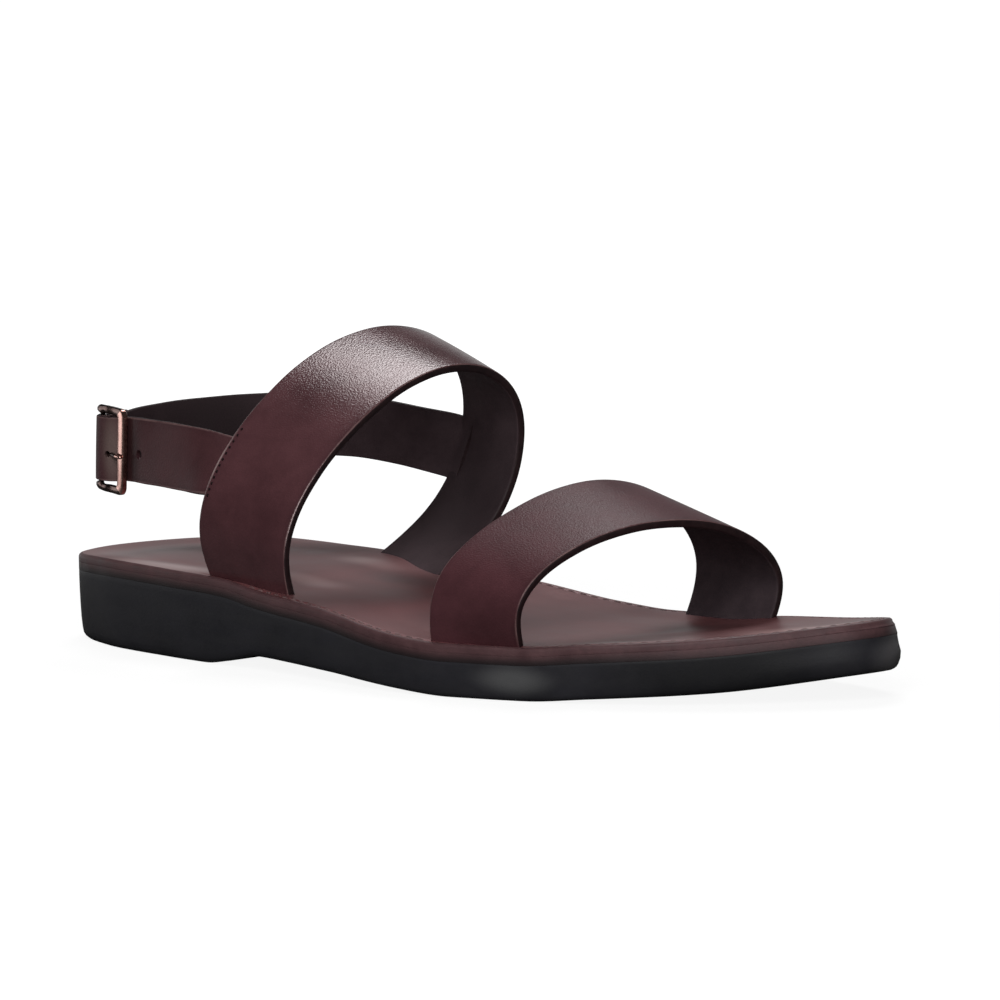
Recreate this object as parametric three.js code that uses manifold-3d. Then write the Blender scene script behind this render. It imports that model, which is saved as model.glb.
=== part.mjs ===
// Strap sandal for the right foot, in millimetres.
// +X runs from heel to toe, +Y to the inner side of the foot, +Z up.
// The tables use the last's own frame: x from the back of the heel, y from its middle, z from the floor.
import * as THREE from 'three';
import { mergeVertices } from 'three/addons/utils/BufferGeometryUtils.js';
import Module from 'manifold-3d';

const wasm = await Module();
wasm.setup();

// Driving dimensions
const GAP = 0.3;                  // between pieces that meet
const LAYER_GAP = 0.15;           // between strap ends that only lie on each other
const MIDSOLE_THICKNESS = 2.2;
const INSOLE_THICKNESS = 2.2;
const EDGE_ROUNDING = 0.7;        // worn top edge of the insole
const STRAP_THICKNESS = 2.5;      // both cross straps
const SLING_WIDTH = 19;
const SLING_THICKNESS = 1.4;
const SKIVED_THICKNESS = 0.8;     // the sling where it is folded round the buckle's bar
const STRAP_CHAMFER = 0.5;        // burnished strap edges
const SEWN_DEPTH = 0.4;           // how far a sewn lap is pressed into the strap under it
const HOLE_DIAMETER = 2.8;
const HOLE_SPACING = 11.5;
const TAIL_LENGTH = 32;           // free end of the sling past the buckle's rear bar
const BUCKLE_LENGTH = 15;         // along the strap
const BUCKLE_HEIGHT = 24.8;
const BUCKLE_THICKNESS = 1.7;
const BUCKLE_CORNER = 2.6;
const FRONT_BAR = 4;
const REAR_BAR = 1.6;
const SIDE_BAR = 2.2;
const PRONG_RADIUS = 0.85;
const PRONG_EYE_WALL = 0.6;
const PRONG_EYE_HEIGHT = 2.6;
const HEEL_TURN = 45;             // from the frame to the heel strap that leaves its rear bar, in degrees

// Sole outline seen from above, from the back of the heel along the outer side and back along the inner side
const OUTLINE = [
  { x: 0, y: 1 }, { x: 9, y: -22 }, { x: 30, y: -34 }, { x: 62, y: -41 },
  { x: 99, y: -45.3 }, { x: 139, y: -51 }, { x: 174, y: -54.4 }, { x: 204, y: -48.6 },
  { x: 231, y: -38.6 }, { x: 256, y: -23 }, { x: 277, y: -3.2 }, { x: 290, y: 16.2 },
  { x: 283, y: 32.4 }, { x: 262, y: 41 }, { x: 225, y: 44.9 }, { x: 190, y: 42.7 },
  { x: 149, y: 37 }, { x: 110, y: 32.8 }, { x: 70, y: 34.4 }, { x: 31, y: 34 }, { x: 8, y: 23.8 },
];

// Rubber along the foot: its underside, and its top where the leather starts
const RUBBER = [
  { x: 0, under: 0, top: 19.2 },
  { x: 40, under: 0, top: 20.9 },
  { x: 83, under: 0, top: 20.4 },
  { x: 94, under: 1.4, top: 19.9 },
  { x: 109, under: 4.0, top: 18.0 },
  { x: 140, under: 3.0, top: 15.6 },
  { x: 170, under: 1.2, top: 11.5 },
  { x: 190, under: 0, top: 10.0 },
  { x: 212, under: 0, top: 10.0 },
  { x: 230, under: 1.2, top: 11.3 },
  { x: 260, under: 3.4, top: 13.5 },
  { x: 290, under: 8.2, top: 17.8 },
];

// Side of the rubber: how far in from the outline at each share of its height
const RUBBER_SIDE = [
  { rise: 0, inset: 1.9 },
  { rise: 0.09, inset: 1.0 },
  { rise: 0.5, inset: 0.3 },
  { rise: 1, inset: 0 },
];

// Cross straps from the outer slot over the foot to the inner slot.
// tilt lowers the strap's front edge, heading turns it towards the inner side, both in degrees.
const TOE_STRAP = [
  { x: 196.2, y: -43.4, z: 9.0, tilt: 2.6, heading: 19.0, width: 28.4 },
  { x: 199.3, y: -46.9, z: 28.1, tilt: 9.3, heading: 5.0, width: 30.4 },
  { x: 203.4, y: -29.3, z: 43.1, tilt: 13.8, heading: -8.3, width: 31.8 },
  { x: 210.9, y: -1.6, z: 50.4, tilt: 15.7, heading: -11.8, width: 33.5 },
  { x: 214.3, y: 26.8, z: 44.1, tilt: 10.8, heading: -7.0, width: 33.6 },
  { x: 213.7, y: 42.4, z: 28.3, tilt: 3.9, heading: -2.1, width: 32.8 },
  { x: 213.7, y: 35.5, z: 9.6, tilt: -2.5, heading: 3.0, width: 31.8 },
];
const INSTEP_STRAP = [
  { x: 102.0, y: -37.4, z: 17.4, tilt: 3.1, heading: -5.4, width: 34 },
  { x: 104.0, y: -44.3, z: 40.8, tilt: 8.0, heading: 4.2, width: 34 },
  { x: 107.9, y: -20.3, z: 72.2, tilt: 14.3, heading: 4.8, width: 34 },
  { x: 111.1, y: 19.9, z: 86.9, tilt: 16.4, heading: -3.6, width: 34 },
  { x: 111.6, y: 46.3, z: 74.1, tilt: 13.6, heading: -14.3, width: 34 },
  { x: 105.8, y: 46.1, z: 42.1, tilt: 5.7, heading: -15.5, width: 34 },
  { x: 99.9, y: 16.1, z: 18.4, tilt: -0.6, heading: -2.5, width: 34 },
];

// Where the sling straps are sewn inside the instep strap: distance in from its rear edge, and height
const LATERAL_LAP = [{ fromRear: 12, z: 57.0 }, { fromRear: 0, z: 57.4 }];
const MEDIAL_LAP = [{ fromRear: 0, z: 54.2 }, { fromRear: 6.5, z: 52.9 }];

// Free run of each sling strap, from front to back on the outer side and back to front on the inner side.
// lean tips the strap's upper edge towards the foot, in degrees.
const LATERAL_RUN = [
  { x: 77, y: -39.2, z: 57.7, lean: 15 },
  { x: 58, y: -36.4, z: 58.2, lean: 6 },
];
const HEEL_RUN = [
  { x: 22.8, y: -17.5, z: 57.0, lean: 2 },
  { x: 18.2, y: -6.5, z: 57.1, lean: 2 },
  { x: 17.6, y: 5, z: 57.7, lean: 2 },
  { x: 23, y: 16.5, z: 58.7, lean: 2 },
  { x: 38, y: 28.5, z: 59.9, lean: 3 },
  { x: 60, y: 40, z: 60.1, lean: 6 },
  { x: 79, y: 48.5, z: 57.0, lean: 8 },
];

// Buckle: middle of its frame, turned in towards the heel and dipped towards the toe
const BUCKLE = { x: 39.4, y: -34.2, z: 57.5, turn: 14, dip: 4 };

const UP = new THREE.Vector3(0, 0, 1);
const radians = THREE.MathUtils.degToRad;

// Curves

// Cubic through all values with no bend at its two ends
function naturalSpline(knots, values) {
  const last = knots.length - 1;
  const bends = new Array(last + 1).fill(0);
  const carry = new Array(last + 1).fill(0);
  for (let i = 1; i < last; i++) {
    const before = knots[i] - knots[i - 1];
    const after = knots[i + 1] - knots[i];
    const slopeChange = (values[i + 1] - values[i]) / after - (values[i] - values[i - 1]) / before;
    const pivot = 2 * (before + after) - before * carry[i - 1];
    carry[i] = after / pivot;
    bends[i] = (6 * slopeChange - before * bends[i - 1]) / pivot;
  }
  for (let i = last - 1; i > 0; i--) bends[i] -= carry[i] * bends[i + 1];
  return (at) => {
    let i = 0;
    while (i < last - 1 && at > knots[i + 1]) i++;
    const span = knots[i + 1] - knots[i];
    const toEnd = (knots[i + 1] - at) / span;
    const fromStart = (at - knots[i]) / span;
    const cubic = (toEnd ** 3 - toEnd) * bends[i] + (fromStart ** 3 - fromStart) * bends[i + 1];
    return toEnd * values[i] + fromStart * values[i + 1] + (cubic * span * span) / 6;
  };
}

// Cubic that never overshoots its rows, so flat stretches stay flat
function steadyCurve(rows, column) {
  const xs = rows.map((row) => row.x);
  const ys = rows.map((row) => row[column]);
  const last = xs.length - 1;
  const chord = xs.slice(1).map((x, i) => (ys[i + 1] - ys[i]) / (x - xs[i]));
  const slope = xs.map((_, i) => {
    if (i === 0) return chord[0];
    if (i === last) return chord[last - 1];
    if (chord[i - 1] * chord[i] <= 0) return 0;
    return (2 * chord[i - 1] * chord[i]) / (chord[i - 1] + chord[i]);
  });
  return (x) => {
    const at = THREE.MathUtils.clamp(x, xs[0], xs[last]);
    let i = 0;
    while (i < last - 1 && at > xs[i + 1]) i++;
    const span = xs[i + 1] - xs[i];
    const t = (at - xs[i]) / span;
    const rise = t * t * (3 - 2 * t);
    return ys[i] + (ys[i + 1] - ys[i]) * rise
      + span * (slope[i] * t * (1 - t) ** 2 - slope[i + 1] * t * t * (1 - t));
  };
}

// A strap's middle line through its rows, with its width and the direction across it at every point
function strapPath(rows) {
  const knots = [0];
  for (let i = 1; i < rows.length; i++) {
    knots.push(knots[i - 1] + Math.sqrt(rows[i].middle.distanceTo(rows[i - 1].middle)));
  }
  const length = knots.at(-1);
  const curves = (key) =>
    ['x', 'y', 'z'].map((axis) => naturalSpline(knots, rows.map((row) => row[key][axis])));
  const middle = curves('middle');
  const across = curves('across');
  const width = naturalSpline(knots, rows.map((row) => row.width));
  const at = (list, t) => new THREE.Vector3(...list.map((curve) => curve(t * length)));
  const path = (t) => {
    const step = 1e-4;
    const along = at(middle, t + step).sub(at(middle, t - step)).normalize();
    const side = at(across, t);
    side.addScaledVector(along, -side.dot(along)).normalize();
    const out = side.clone().cross(along);
    return { middle: at(middle, t), along, across: side, out, width: width(t * length) };
  };
  path.shareOf = (row) => knots[row] / length;
  return path;
}

// Solids

function toSolid(geometry) {
  const bare = geometry.clone();
  bare.deleteAttribute('normal');
  bare.deleteAttribute('uv');
  const merged = mergeVertices(bare, 1e-4);
  return new wasm.Manifold(new wasm.Mesh({
    numProp: 3,
    vertProperties: new Float32Array(merged.attributes.position.array),
    triVerts: new Uint32Array(merged.index.array),
  }));
}

function toGeometry(solid) {
  const { vertProperties, triVerts } = solid.getMesh();
  const geometry = new THREE.BufferGeometry();
  geometry.setAttribute('position', new THREE.BufferAttribute(vertProperties, 3));
  geometry.setIndex(new THREE.BufferAttribute(triVerts, 1));
  geometry.computeVertexNormals();
  return geometry;
}

function meshGeometry(points, faces) {
  const geometry = new THREE.BufferGeometry().setFromPoints(points);
  geometry.setIndex(faces.flat());
  geometry.computeVertexNormals();
  return geometry;
}

// Section swept along a strap path: sectionOf(width) gives its [across, outward] corners,
// counter-clockwise seen against the path
function sweep(path, sectionOf, steps, from = 0, to = 1) {
  const points = [];
  const faces = [];
  let sides = 0;
  for (let i = 0; i <= steps; i++) {
    const { middle, across, out, width } = path(from + ((to - from) * i) / steps);
    const section = sectionOf(width);
    sides = section.length;
    for (const [w, h] of section) {
      points.push(middle.clone().addScaledVector(across, w).addScaledVector(out, h));
    }
  }
  for (let i = 0; i < steps; i++) {
    for (let k = 0; k < sides; k++) {
      const a = i * sides + k;
      const b = i * sides + ((k + 1) % sides);
      faces.push([a, b + sides, b], [a, a + sides, b + sides]);
    }
  }
  const end = steps * sides;
  for (let k = 1; k < sides - 1; k++) {
    faces.push([0, k, k + 1], [end, end + k + 1, end + k]);
  }
  return meshGeometry(points, faces);
}

function strapSection(width, thickness, chamfer) {
  const w = width / 2;
  const h = thickness / 2;
  const c = chamfer;
  return [
    [w, c - h], [w, h - c], [w - c, h], [c - w, h],
    [-w, h - c], [-w, c - h], [c - w, -h], [w - c, -h],
  ];
}

function roundSection(radius, sides) {
  return Array.from({ length: sides }, (_, i) => {
    const angle = (2 * Math.PI * i) / sides;
    return [radius * Math.cos(angle), radius * Math.sin(angle)];
  });
}

// Sole layers

const STATIONS = 52;
const outlineCurve = new THREE.CatmullRomCurve3(
  OUTLINE.map(({ x, y }) => new THREE.Vector3(x, y, 0)), true, 'centripetal');
const outlinePoints = outlineCurve.getPoints(800).slice(0, -1);

// Outline moved in by inset, as [outer side, inner side] runs from heel to toe
function insetSides(inset) {
  const count = outlinePoints.length;
  const moved = outlinePoints.map((point, i) => {
    const before = outlinePoints[(i + count - 1) % count];
    const along = outlinePoints[(i + 1) % count].clone().sub(before).normalize();
    return new THREE.Vector3(point.x - along.y * inset, point.y + along.x * inset, 0);
  });
  const byX = (pick) => moved.reduce((best, point, i) => (pick(point.x, moved[best].x) ? i : best), 0);
  const heel = byX((x, best) => x < best);
  const toe = byX((x, best) => x > best);
  const run = (from, to) => {
    const points = [];
    for (let i = from; ; i = (i + 1) % count) {
      points.push(moved[i]);
      if (i === to) return points;
    }
  };
  return [run(heel, toe), run(toe, heel).reverse()];
}

function sideAt(run, x) {
  let i = 0;
  while (i < run.length - 2 && run[i + 1].x < x) i++;
  const share = (x - run[i].x) / (run[i + 1].x - run[i].x);
  return THREE.MathUtils.lerp(run[i].y, run[i + 1].y, THREE.MathUtils.clamp(share, 0, 1));
}

// Ring of points round the sole at one inset, on the surface z = height(x)
function soleRing({ inset, height }) {
  const [outer, inner] = insetSides(inset);
  const first = outer[0].x;
  const length = outer.at(-1).x - first;
  const station = (k) => first + (length * (1 - Math.cos((Math.PI * k) / STATIONS))) / 2;
  const ring = [];
  for (let k = 0; k <= STATIONS; k++) {
    ring.push(new THREE.Vector3(station(k), sideAt(outer, station(k)), height(station(k))));
  }
  for (let k = STATIONS - 1; k > 0; k--) {
    ring.push(new THREE.Vector3(station(k), sideAt(inner, station(k)), height(station(k))));
  }
  return ring;
}

// Closed layer through rings from its underside to its top
function soleLayer(levels) {
  const count = 2 * STATIONS;
  const points = levels.flatMap(soleRing);
  const faces = [];
  for (let j = 0; j < levels.length - 1; j++) {
    for (let i = 0; i < count; i++) {
      const a = j * count + i;
      const b = j * count + ((i + 1) % count);
      faces.push([a, b, b + count], [a, b + count, a + count]);
    }
  }
  const cap = (start, flip) => {
    const add = (a, b, c) => {
      const [second, third] = flip ? [c, b] : [b, c];
      faces.push([start + a, start + second, start + third]);
    };
    add(0, 1, count - 1);
    for (let k = 1; k < STATIONS - 1; k++) {
      add(k, k + 1, count - k - 1);
      add(k, count - k - 1, count - k);
    }
    add(STATIONS - 1, STATIONS, STATIONS + 1);
  };
  cap(0, true);
  cap((levels.length - 1) * count, false);
  return meshGeometry(points, faces);
}

const rubberUnder = steadyCurve(RUBBER, 'under');
const rubberTop = steadyCurve(RUBBER, 'top');
const midsoleUnder = (x) => rubberTop(x) + GAP;
const midsoleTop = (x) => midsoleUnder(x) + MIDSOLE_THICKNESS;
const insoleUnder = (x) => midsoleTop(x) + GAP;
const insoleTop = (x) => insoleUnder(x) + INSOLE_THICKNESS;

function makeOutsole() {
  return soleLayer(RUBBER_SIDE.map(({ rise, inset }) => ({
    inset,
    height: (x) => THREE.MathUtils.lerp(rubberUnder(x), rubberTop(x), rise),
  })));
}

function makeMidsole() {
  return soleLayer([{ inset: 0, height: midsoleUnder }, { inset: 0, height: midsoleTop }]);
}

function makeInsole(slots) {
  const sheet = toSolid(soleLayer([
    { inset: 0, height: insoleUnder },
    { inset: 0, height: (x) => insoleTop(x) - EDGE_ROUNDING },
    { inset: EDGE_ROUNDING, height: insoleTop },
  ]));
  return toGeometry(slots.reduce((solid, slot) => solid.subtract(slot), sheet));
}

// Everything below the insole's underside, wider than the sole, to trim the strap ends
function belowInsole() {
  const reach = 12;
  const depth = 40;
  return toSolid(soleLayer([
    { inset: -reach, height: () => -depth },
    { inset: -reach, height: insoleUnder },
  ]));
}

// Cross straps

function crossStrapPath(table) {
  return strapPath(table.map(({ x, y, z, tilt, heading, width }) => ({
    width,
    middle: new THREE.Vector3(x, y, z),
    across: new THREE.Vector3(
      Math.cos(radians(tilt)) * Math.cos(radians(heading)),
      Math.cos(radians(tilt)) * Math.sin(radians(heading)),
      -Math.sin(radians(tilt))),
  })));
}

const CROSS_STEPS = 56;
const FOOT_STEPS = 8;
const FOOT_SHARE = 0.16;          // stretch of a cross strap near each slot

function crossStrap(path) {
  const section = (width) => strapSection(width, STRAP_THICKNESS, STRAP_CHAMFER);
  return toSolid(sweep(path, section, CROSS_STEPS)).subtract(belowInsole());
}

function strapSlots(path) {
  const section = (width) => strapSection(width + 2 * GAP, STRAP_THICKNESS + 2 * GAP, STRAP_CHAMFER);
  return [[0, FOOT_SHARE], [1 - FOOT_SHARE, 1]].map(([from, to]) =>
    toSolid(sweep(path, section, FOOT_STEPS, from, to)));
}

const toePath = crossStrapPath(TOE_STRAP);
const instepPath = crossStrapPath(INSTEP_STRAP);

// Buckle, in its own frame: x towards the toe along the strap, y up, z away from the foot

const buckleFront = new THREE.Vector3(
  Math.cos(radians(BUCKLE.turn)) * Math.cos(radians(BUCKLE.dip)),
  -Math.sin(radians(BUCKLE.turn)) * Math.cos(radians(BUCKLE.dip)),
  -Math.sin(radians(BUCKLE.dip)));
const buckleOut = buckleFront.clone().cross(UP).normalize();
const buckleUp = buckleOut.clone().cross(buckleFront);
const frontBarX = (BUCKLE_LENGTH - FRONT_BAR) / 2;
const rearBarX = (REAR_BAR - BUCKLE_LENGTH) / 2;
const barHalf = BUCKLE_THICKNESS / 2;
const slingHalf = SLING_THICKNESS / 2;

function placeBuckle(group) {
  group.position.set(BUCKLE.x, BUCKLE.y, BUCKLE.z);
  group.quaternion.setFromRotationMatrix(new THREE.Matrix4().makeBasis(buckleFront, buckleUp, buckleOut));
  group.updateMatrix();
  return group;
}

// Strap row at a place beside the buckle
function buckleRow([front, out, up = 0]) {
  const middle = new THREE.Vector3(BUCKLE.x, BUCKLE.y, BUCKLE.z)
    .addScaledVector(buckleFront, front)
    .addScaledVector(buckleOut, out)
    .addScaledVector(buckleUp, up);
  return { middle, across: buckleUp.clone(), width: SLING_WIDTH };
}

function roundedRectangle(path, left, right, halfHeight, corner) {
  path.moveTo(left + corner, -halfHeight);
  path.lineTo(right - corner, -halfHeight);
  path.absarc(right - corner, corner - halfHeight, corner, -Math.PI / 2, 0);
  path.lineTo(right, halfHeight - corner);
  path.absarc(right - corner, halfHeight - corner, corner, 0, Math.PI / 2);
  path.lineTo(left + corner, halfHeight);
  path.absarc(left + corner, halfHeight - corner, corner, Math.PI / 2, Math.PI);
  path.lineTo(left, corner - halfHeight);
  path.absarc(left + corner, corner - halfHeight, corner, Math.PI, 1.5 * Math.PI);
  return path;
}

function makeBuckleFrame() {
  const bevel = 0.45;
  const half = BUCKLE_LENGTH / 2;
  const frame = roundedRectangle(
    new THREE.Shape(), bevel - half, half - bevel, BUCKLE_HEIGHT / 2 - bevel, BUCKLE_CORNER - bevel);
  frame.holes.push(roundedRectangle(
    new THREE.Path(), REAR_BAR - half - bevel, half - FRONT_BAR + bevel,
    BUCKLE_HEIGHT / 2 - SIDE_BAR + bevel, 1));
  const geometry = new THREE.ExtrudeGeometry(frame, {
    depth: BUCKLE_THICKNESS - 2 * bevel,
    bevelThickness: bevel,
    bevelSize: bevel,
    bevelSegments: 1,
    curveSegments: 5,
  });
  return geometry.translate(0, 0, bevel - barHalf);
}

// Prong: an eye round the rear bar and a shank whose tip lies on the front bar
const eyeInner = Math.hypot(REAR_BAR / 2, barHalf) + GAP;
const eyeOuter = eyeInner + PRONG_EYE_WALL;
const prongTipOut = barHalf + GAP + PRONG_RADIUS;

function prongShank(radius) {
  const places = [
    [rearBarX + (eyeInner + eyeOuter) / 2, 0.2],
    [frontBarX - 3.5, prongTipOut - 0.4],
    [frontBarX, prongTipOut],
    [frontBarX + 1.7, prongTipOut - 0.1],
  ];
  const path = strapPath(places.map(([x, z]) => ({
    middle: new THREE.Vector3(x, 0, z),
    across: new THREE.Vector3(0, 1, 0),
    width: 2 * radius,
  })));
  return toSolid(sweep(path, (width) => roundSection(width / 2, 8), 14));
}

function makeProng() {
  const half = PRONG_EYE_HEIGHT / 2;
  const ring = new THREE.LatheGeometry([
    new THREE.Vector2(eyeInner, -half), new THREE.Vector2(eyeOuter, -half),
    new THREE.Vector2(eyeOuter, half), new THREE.Vector2(eyeInner, half),
    new THREE.Vector2(eyeInner, -half),
  ], 16).translate(rearBarX, 0, 0);
  return toSolid(ring).add(prongShank(PRONG_RADIUS));
}

// Sling straps

function leaningRows(table) {
  const middles = table.map(({ x, y, z }) => new THREE.Vector3(x, y, z));
  return table.map(({ lean }, i) => {
    const along = middles[Math.min(i + 1, middles.length - 1)].clone().sub(middles[Math.max(i - 1, 0)]);
    const inward = along.cross(UP).normalize();
    const across = UP.clone().multiplyScalar(Math.cos(radians(lean)));
    across.addScaledVector(inward, Math.sin(radians(lean)));
    return { middle: middles[i], across, width: SLING_WIDTH };
  });
}

// Row of a sling strap sewn to the inside of the instep strap, found by its height on that leg
function lapRow({ fromRear, z }, lowShare, highShare) {
  const onInstep = (share) => {
    const { middle, along, across, out, width } = instepPath(share);
    return { middle: middle.addScaledVector(across, fromRear - width / 2), along, out };
  };
  let [low, high] = [lowShare, highShare];
  for (let i = 0; i < 40; i++) {
    const share = (low + high) / 2;
    if (onInstep(share).middle.z < z) low = share;
    else high = share;
  }
  const { middle, along, out } = onInstep(low);
  middle.addScaledVector(out, SEWN_DEPTH - STRAP_THICKNESS / 2 - slingHalf);
  return { middle, across: along.multiplyScalar(Math.sign(along.z)), width: SLING_WIDTH };
}

const slingSection = (width) => strapSection(width, SLING_THICKNESS, STRAP_CHAMFER);
const skivedSection = (width) => strapSection(width, SKIVED_THICKNESS, SKIVED_THICKNESS / 4);
const skivedHalf = SKIVED_THICKNESS / 2;
const foldRadius = eyeInner + skivedHalf;
const runOut = foldRadius + skivedHalf - slingHalf + 0.06;
const tailOut = foldRadius + skivedHalf + LAYER_GAP + slingHalf;

// Strap row beside the rear bar: how far back along the heel strap that leaves it, and out from that strap
function foldRow([back, out], turn = HEEL_TURN) {
  const [cos, sin] = [Math.cos(radians(turn)), Math.sin(radians(turn))];
  return buckleRow([rearBarX - back * cos - out * sin, out * cos - back * sin]);
}

const BEHIND_BAR = 2.6;           // where the heel strap is back to its full thickness
const TURNED_END = [0.13, 0.07];  // shares of the heel run that the strap's turned-in end lies along

// Inner strap: from its turned-in end round the rear bar, then round the heel to the inner lap
function medialPath() {
  const laps = MEDIAL_LAP.map((lap) => lapRow(lap, 0.97, 0.6));
  const run = [
    ...[[BEHIND_BAR, runOut], [7, runOut - 0.5]].map((place) => foldRow(place)),
    ...leaningRows(HEEL_RUN),
    ...laps,
  ];
  const turnedEnd = TURNED_END.map((share) => {
    const { middle, across, out, width } = strapPath(run)(share);
    return { middle: middle.addScaledVector(out, SEWN_DEPTH - skivedHalf - slingHalf), across, width };
  });
  const fold = [
    [1, -foldRadius],
    [-0.8 * foldRadius, -0.6 * foldRadius],
    [-0.8 * foldRadius, 0.6 * foldRadius],
    [0.4, foldRadius],
  ].map((place) => foldRow(place));
  const path = strapPath([...turnedEnd, ...fold, ...run]);
  path.foldEnd = path.shareOf(turnedEnd.length + fold.length);
  return path;
}

const FOLD_STEPS = 22;
const FOLD_OVERLAP = 0.015;       // share of the inner strap where the skived fold runs into full thickness
const HEEL_STEPS = 64;
const LATERAL_STEPS = 76;
const TAIL_ROWS = 4;

// Outer strap: from its lap to the buckle, under the front bar, over the rear bar and on round the heel
function lateralPath(heelPath) {
  const laps = LATERAL_LAP.map((lap) => lapRow(lap, 0.03, 0.4));
  const under = -(barHalf + GAP + slingHalf);
  const through = [
    [frontBarX + 5, under + 0.2, 1.5],
    [frontBarX + 0.5, under - 0.3, 1],
    [frontBarX - 2.2, under, 0.7],
    [rearBarX + 5.2, 0.4 * tailOut, 0.3],
  ].map(buckleRow);
  through.push(foldRow([0, tailOut], HEEL_TURN / 3), foldRow([BEHIND_BAR, tailOut]));
  const tail = [];
  const start = through.at(-1).middle;
  const stop = TAIL_LENGTH / TAIL_ROWS;
  for (let share = heelPath.foldEnd; tail.length < TAIL_ROWS - 1; share += 0.002) {
    const { middle, across, out, width } = heelPath(share);
    if (middle.x < start.x && middle.distanceTo(start) > stop * (tail.length + 1)) {
      tail.push({ middle: middle.addScaledVector(out, SLING_THICKNESS + LAYER_GAP), across, width });
    }
  }
  return strapPath([...laps, ...leaningRows(LATERAL_RUN), ...through, ...tail]);
}

const buckle = placeBuckle(new THREE.Group());
const toSandal = (solid) => solid.transform(buckle.matrix.toArray());

// Punched holes in the outer strap, counted along it from the one that holds the prong
const FREE_HOLES = [-1, 1, 2];

function slingHoles(path) {
  const places = Array.from({ length: 401 }, (_, i) => path(i / 400));
  const fromBuckle = (i) => places[i].middle.distanceTo(buckleRow([0, 0]).middle);
  const lengths = [0];
  let prongAt = 0;
  for (let i = 1; i < places.length; i++) {
    lengths.push(lengths[i - 1] + places[i].middle.distanceTo(places[i - 1].middle));
    if (fromBuckle(i) < fromBuckle(prongAt)) prongAt = i;
  }
  return FREE_HOLES.map((hole) => {
    const wanted = lengths[prongAt] + hole * HOLE_SPACING;
    const { middle, across, out } = places[lengths.findIndex((length) => length >= wanted)];
    const punch = new THREE.CylinderGeometry(HOLE_DIAMETER / 2, HOLE_DIAMETER / 2, 2 * SLING_THICKNESS, 12);
    const stand = new THREE.Matrix4().makeBasis(across, out, across.clone().cross(out)).setPosition(middle);
    return toSolid(punch.applyMatrix4(stand));
  });
}

function makeUpper() {
  const heelPath = medialPath();
  const outerPath = lateralPath(heelPath);
  const slotLength = 2 * foldRadius + 6;
  const prongSlot = new THREE.BoxGeometry(slotLength, PRONG_EYE_HEIGHT + 2 * GAP, 2 * eyeOuter + 2 * GAP)
    .translate(rearBarX + foldRadius + 2 - slotLength / 2, 0, 0);
  const inner = toSolid(sweep(heelPath, skivedSection, FOLD_STEPS, 0, heelPath.foldEnd + FOLD_OVERLAP))
    .add(toSolid(sweep(heelPath, slingSection, HEEL_STEPS, heelPath.foldEnd, 1)))
    .subtract(toSandal(toSolid(prongSlot)));
  let outer = toSolid(sweep(outerPath, slingSection, LATERAL_STEPS));
  outer = outer.subtract(toSandal(prongShank(PRONG_RADIUS + GAP)));
  for (const hole of slingHoles(outerPath)) outer = outer.subtract(hole);
  return toGeometry(crossStrap(instepPath).add(inner).add(outer));
}

// Assembly

const rubber = new THREE.MeshStandardMaterial({ color: 0x1c1c1e, roughness: 0.62, metalness: 0 });
const edgeLeather = new THREE.MeshStandardMaterial({ color: 0x35222a, roughness: 0.7, metalness: 0 });
const footbedLeather = new THREE.MeshStandardMaterial({ color: 0x4a2e31, roughness: 0.55, metalness: 0 });
const strapLeather = new THREE.MeshStandardMaterial({ color: 0x3f2226, roughness: 0.42, metalness: 0 });
const slingLeather = new THREE.MeshStandardMaterial({ color: 0x3c2125, roughness: 0.45, metalness: 0 });
const darkCopper = new THREE.MeshStandardMaterial({ color: 0x5a3a34, roughness: 0.28, metalness: 1 });
const prongMetal = new THREE.MeshStandardMaterial({ color: 0x6a4a42, roughness: 0.28, metalness: 1 });

function named(name, geometry, material) {
  const mesh = new THREE.Mesh(geometry, material);
  mesh.name = name;
  return mesh;
}

const last = new THREE.Group();
last.add(
  named('outsole', makeOutsole(), rubber),
  named('midsole', makeMidsole(), edgeLeather),
  named('insole', makeInsole([
    ...strapSlots(toePath),
    ...strapSlots(instepPath),
  ]), footbedLeather),
  named('toe_strap', toGeometry(crossStrap(toePath)), strapLeather),
  named('upper', makeUpper(), slingLeather),
);
buckle.add(
  named('buckle_frame', makeBuckleFrame(), darkCopper),
  named('buckle_prong', toGeometry(makeProng()), prongMetal),
);
last.add(buckle);

// The sandal's origin is under the middle of its box
const box = new THREE.Box3().setFromObject(last, true);
last.position.set(-(box.min.x + box.max.x) / 2, -(box.min.y + box.max.y) / 2, -box.min.z);

const sandal = new THREE.Group();
sandal.add(last);

export default sandal;
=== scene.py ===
# %% [markdown]
# # A strap sandal
#
# The sandal has a moulded rubber sole, two leather layers on it, two cross straps and a buckled heel sling.
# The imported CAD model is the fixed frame: it gives every place and size.
# This lesson builds each visible piece again with finer edges and stitches, and paints it with nodes.

import math

import bmesh
import bpy
import numpy as np
from mathutils import Matrix, Vector


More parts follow.
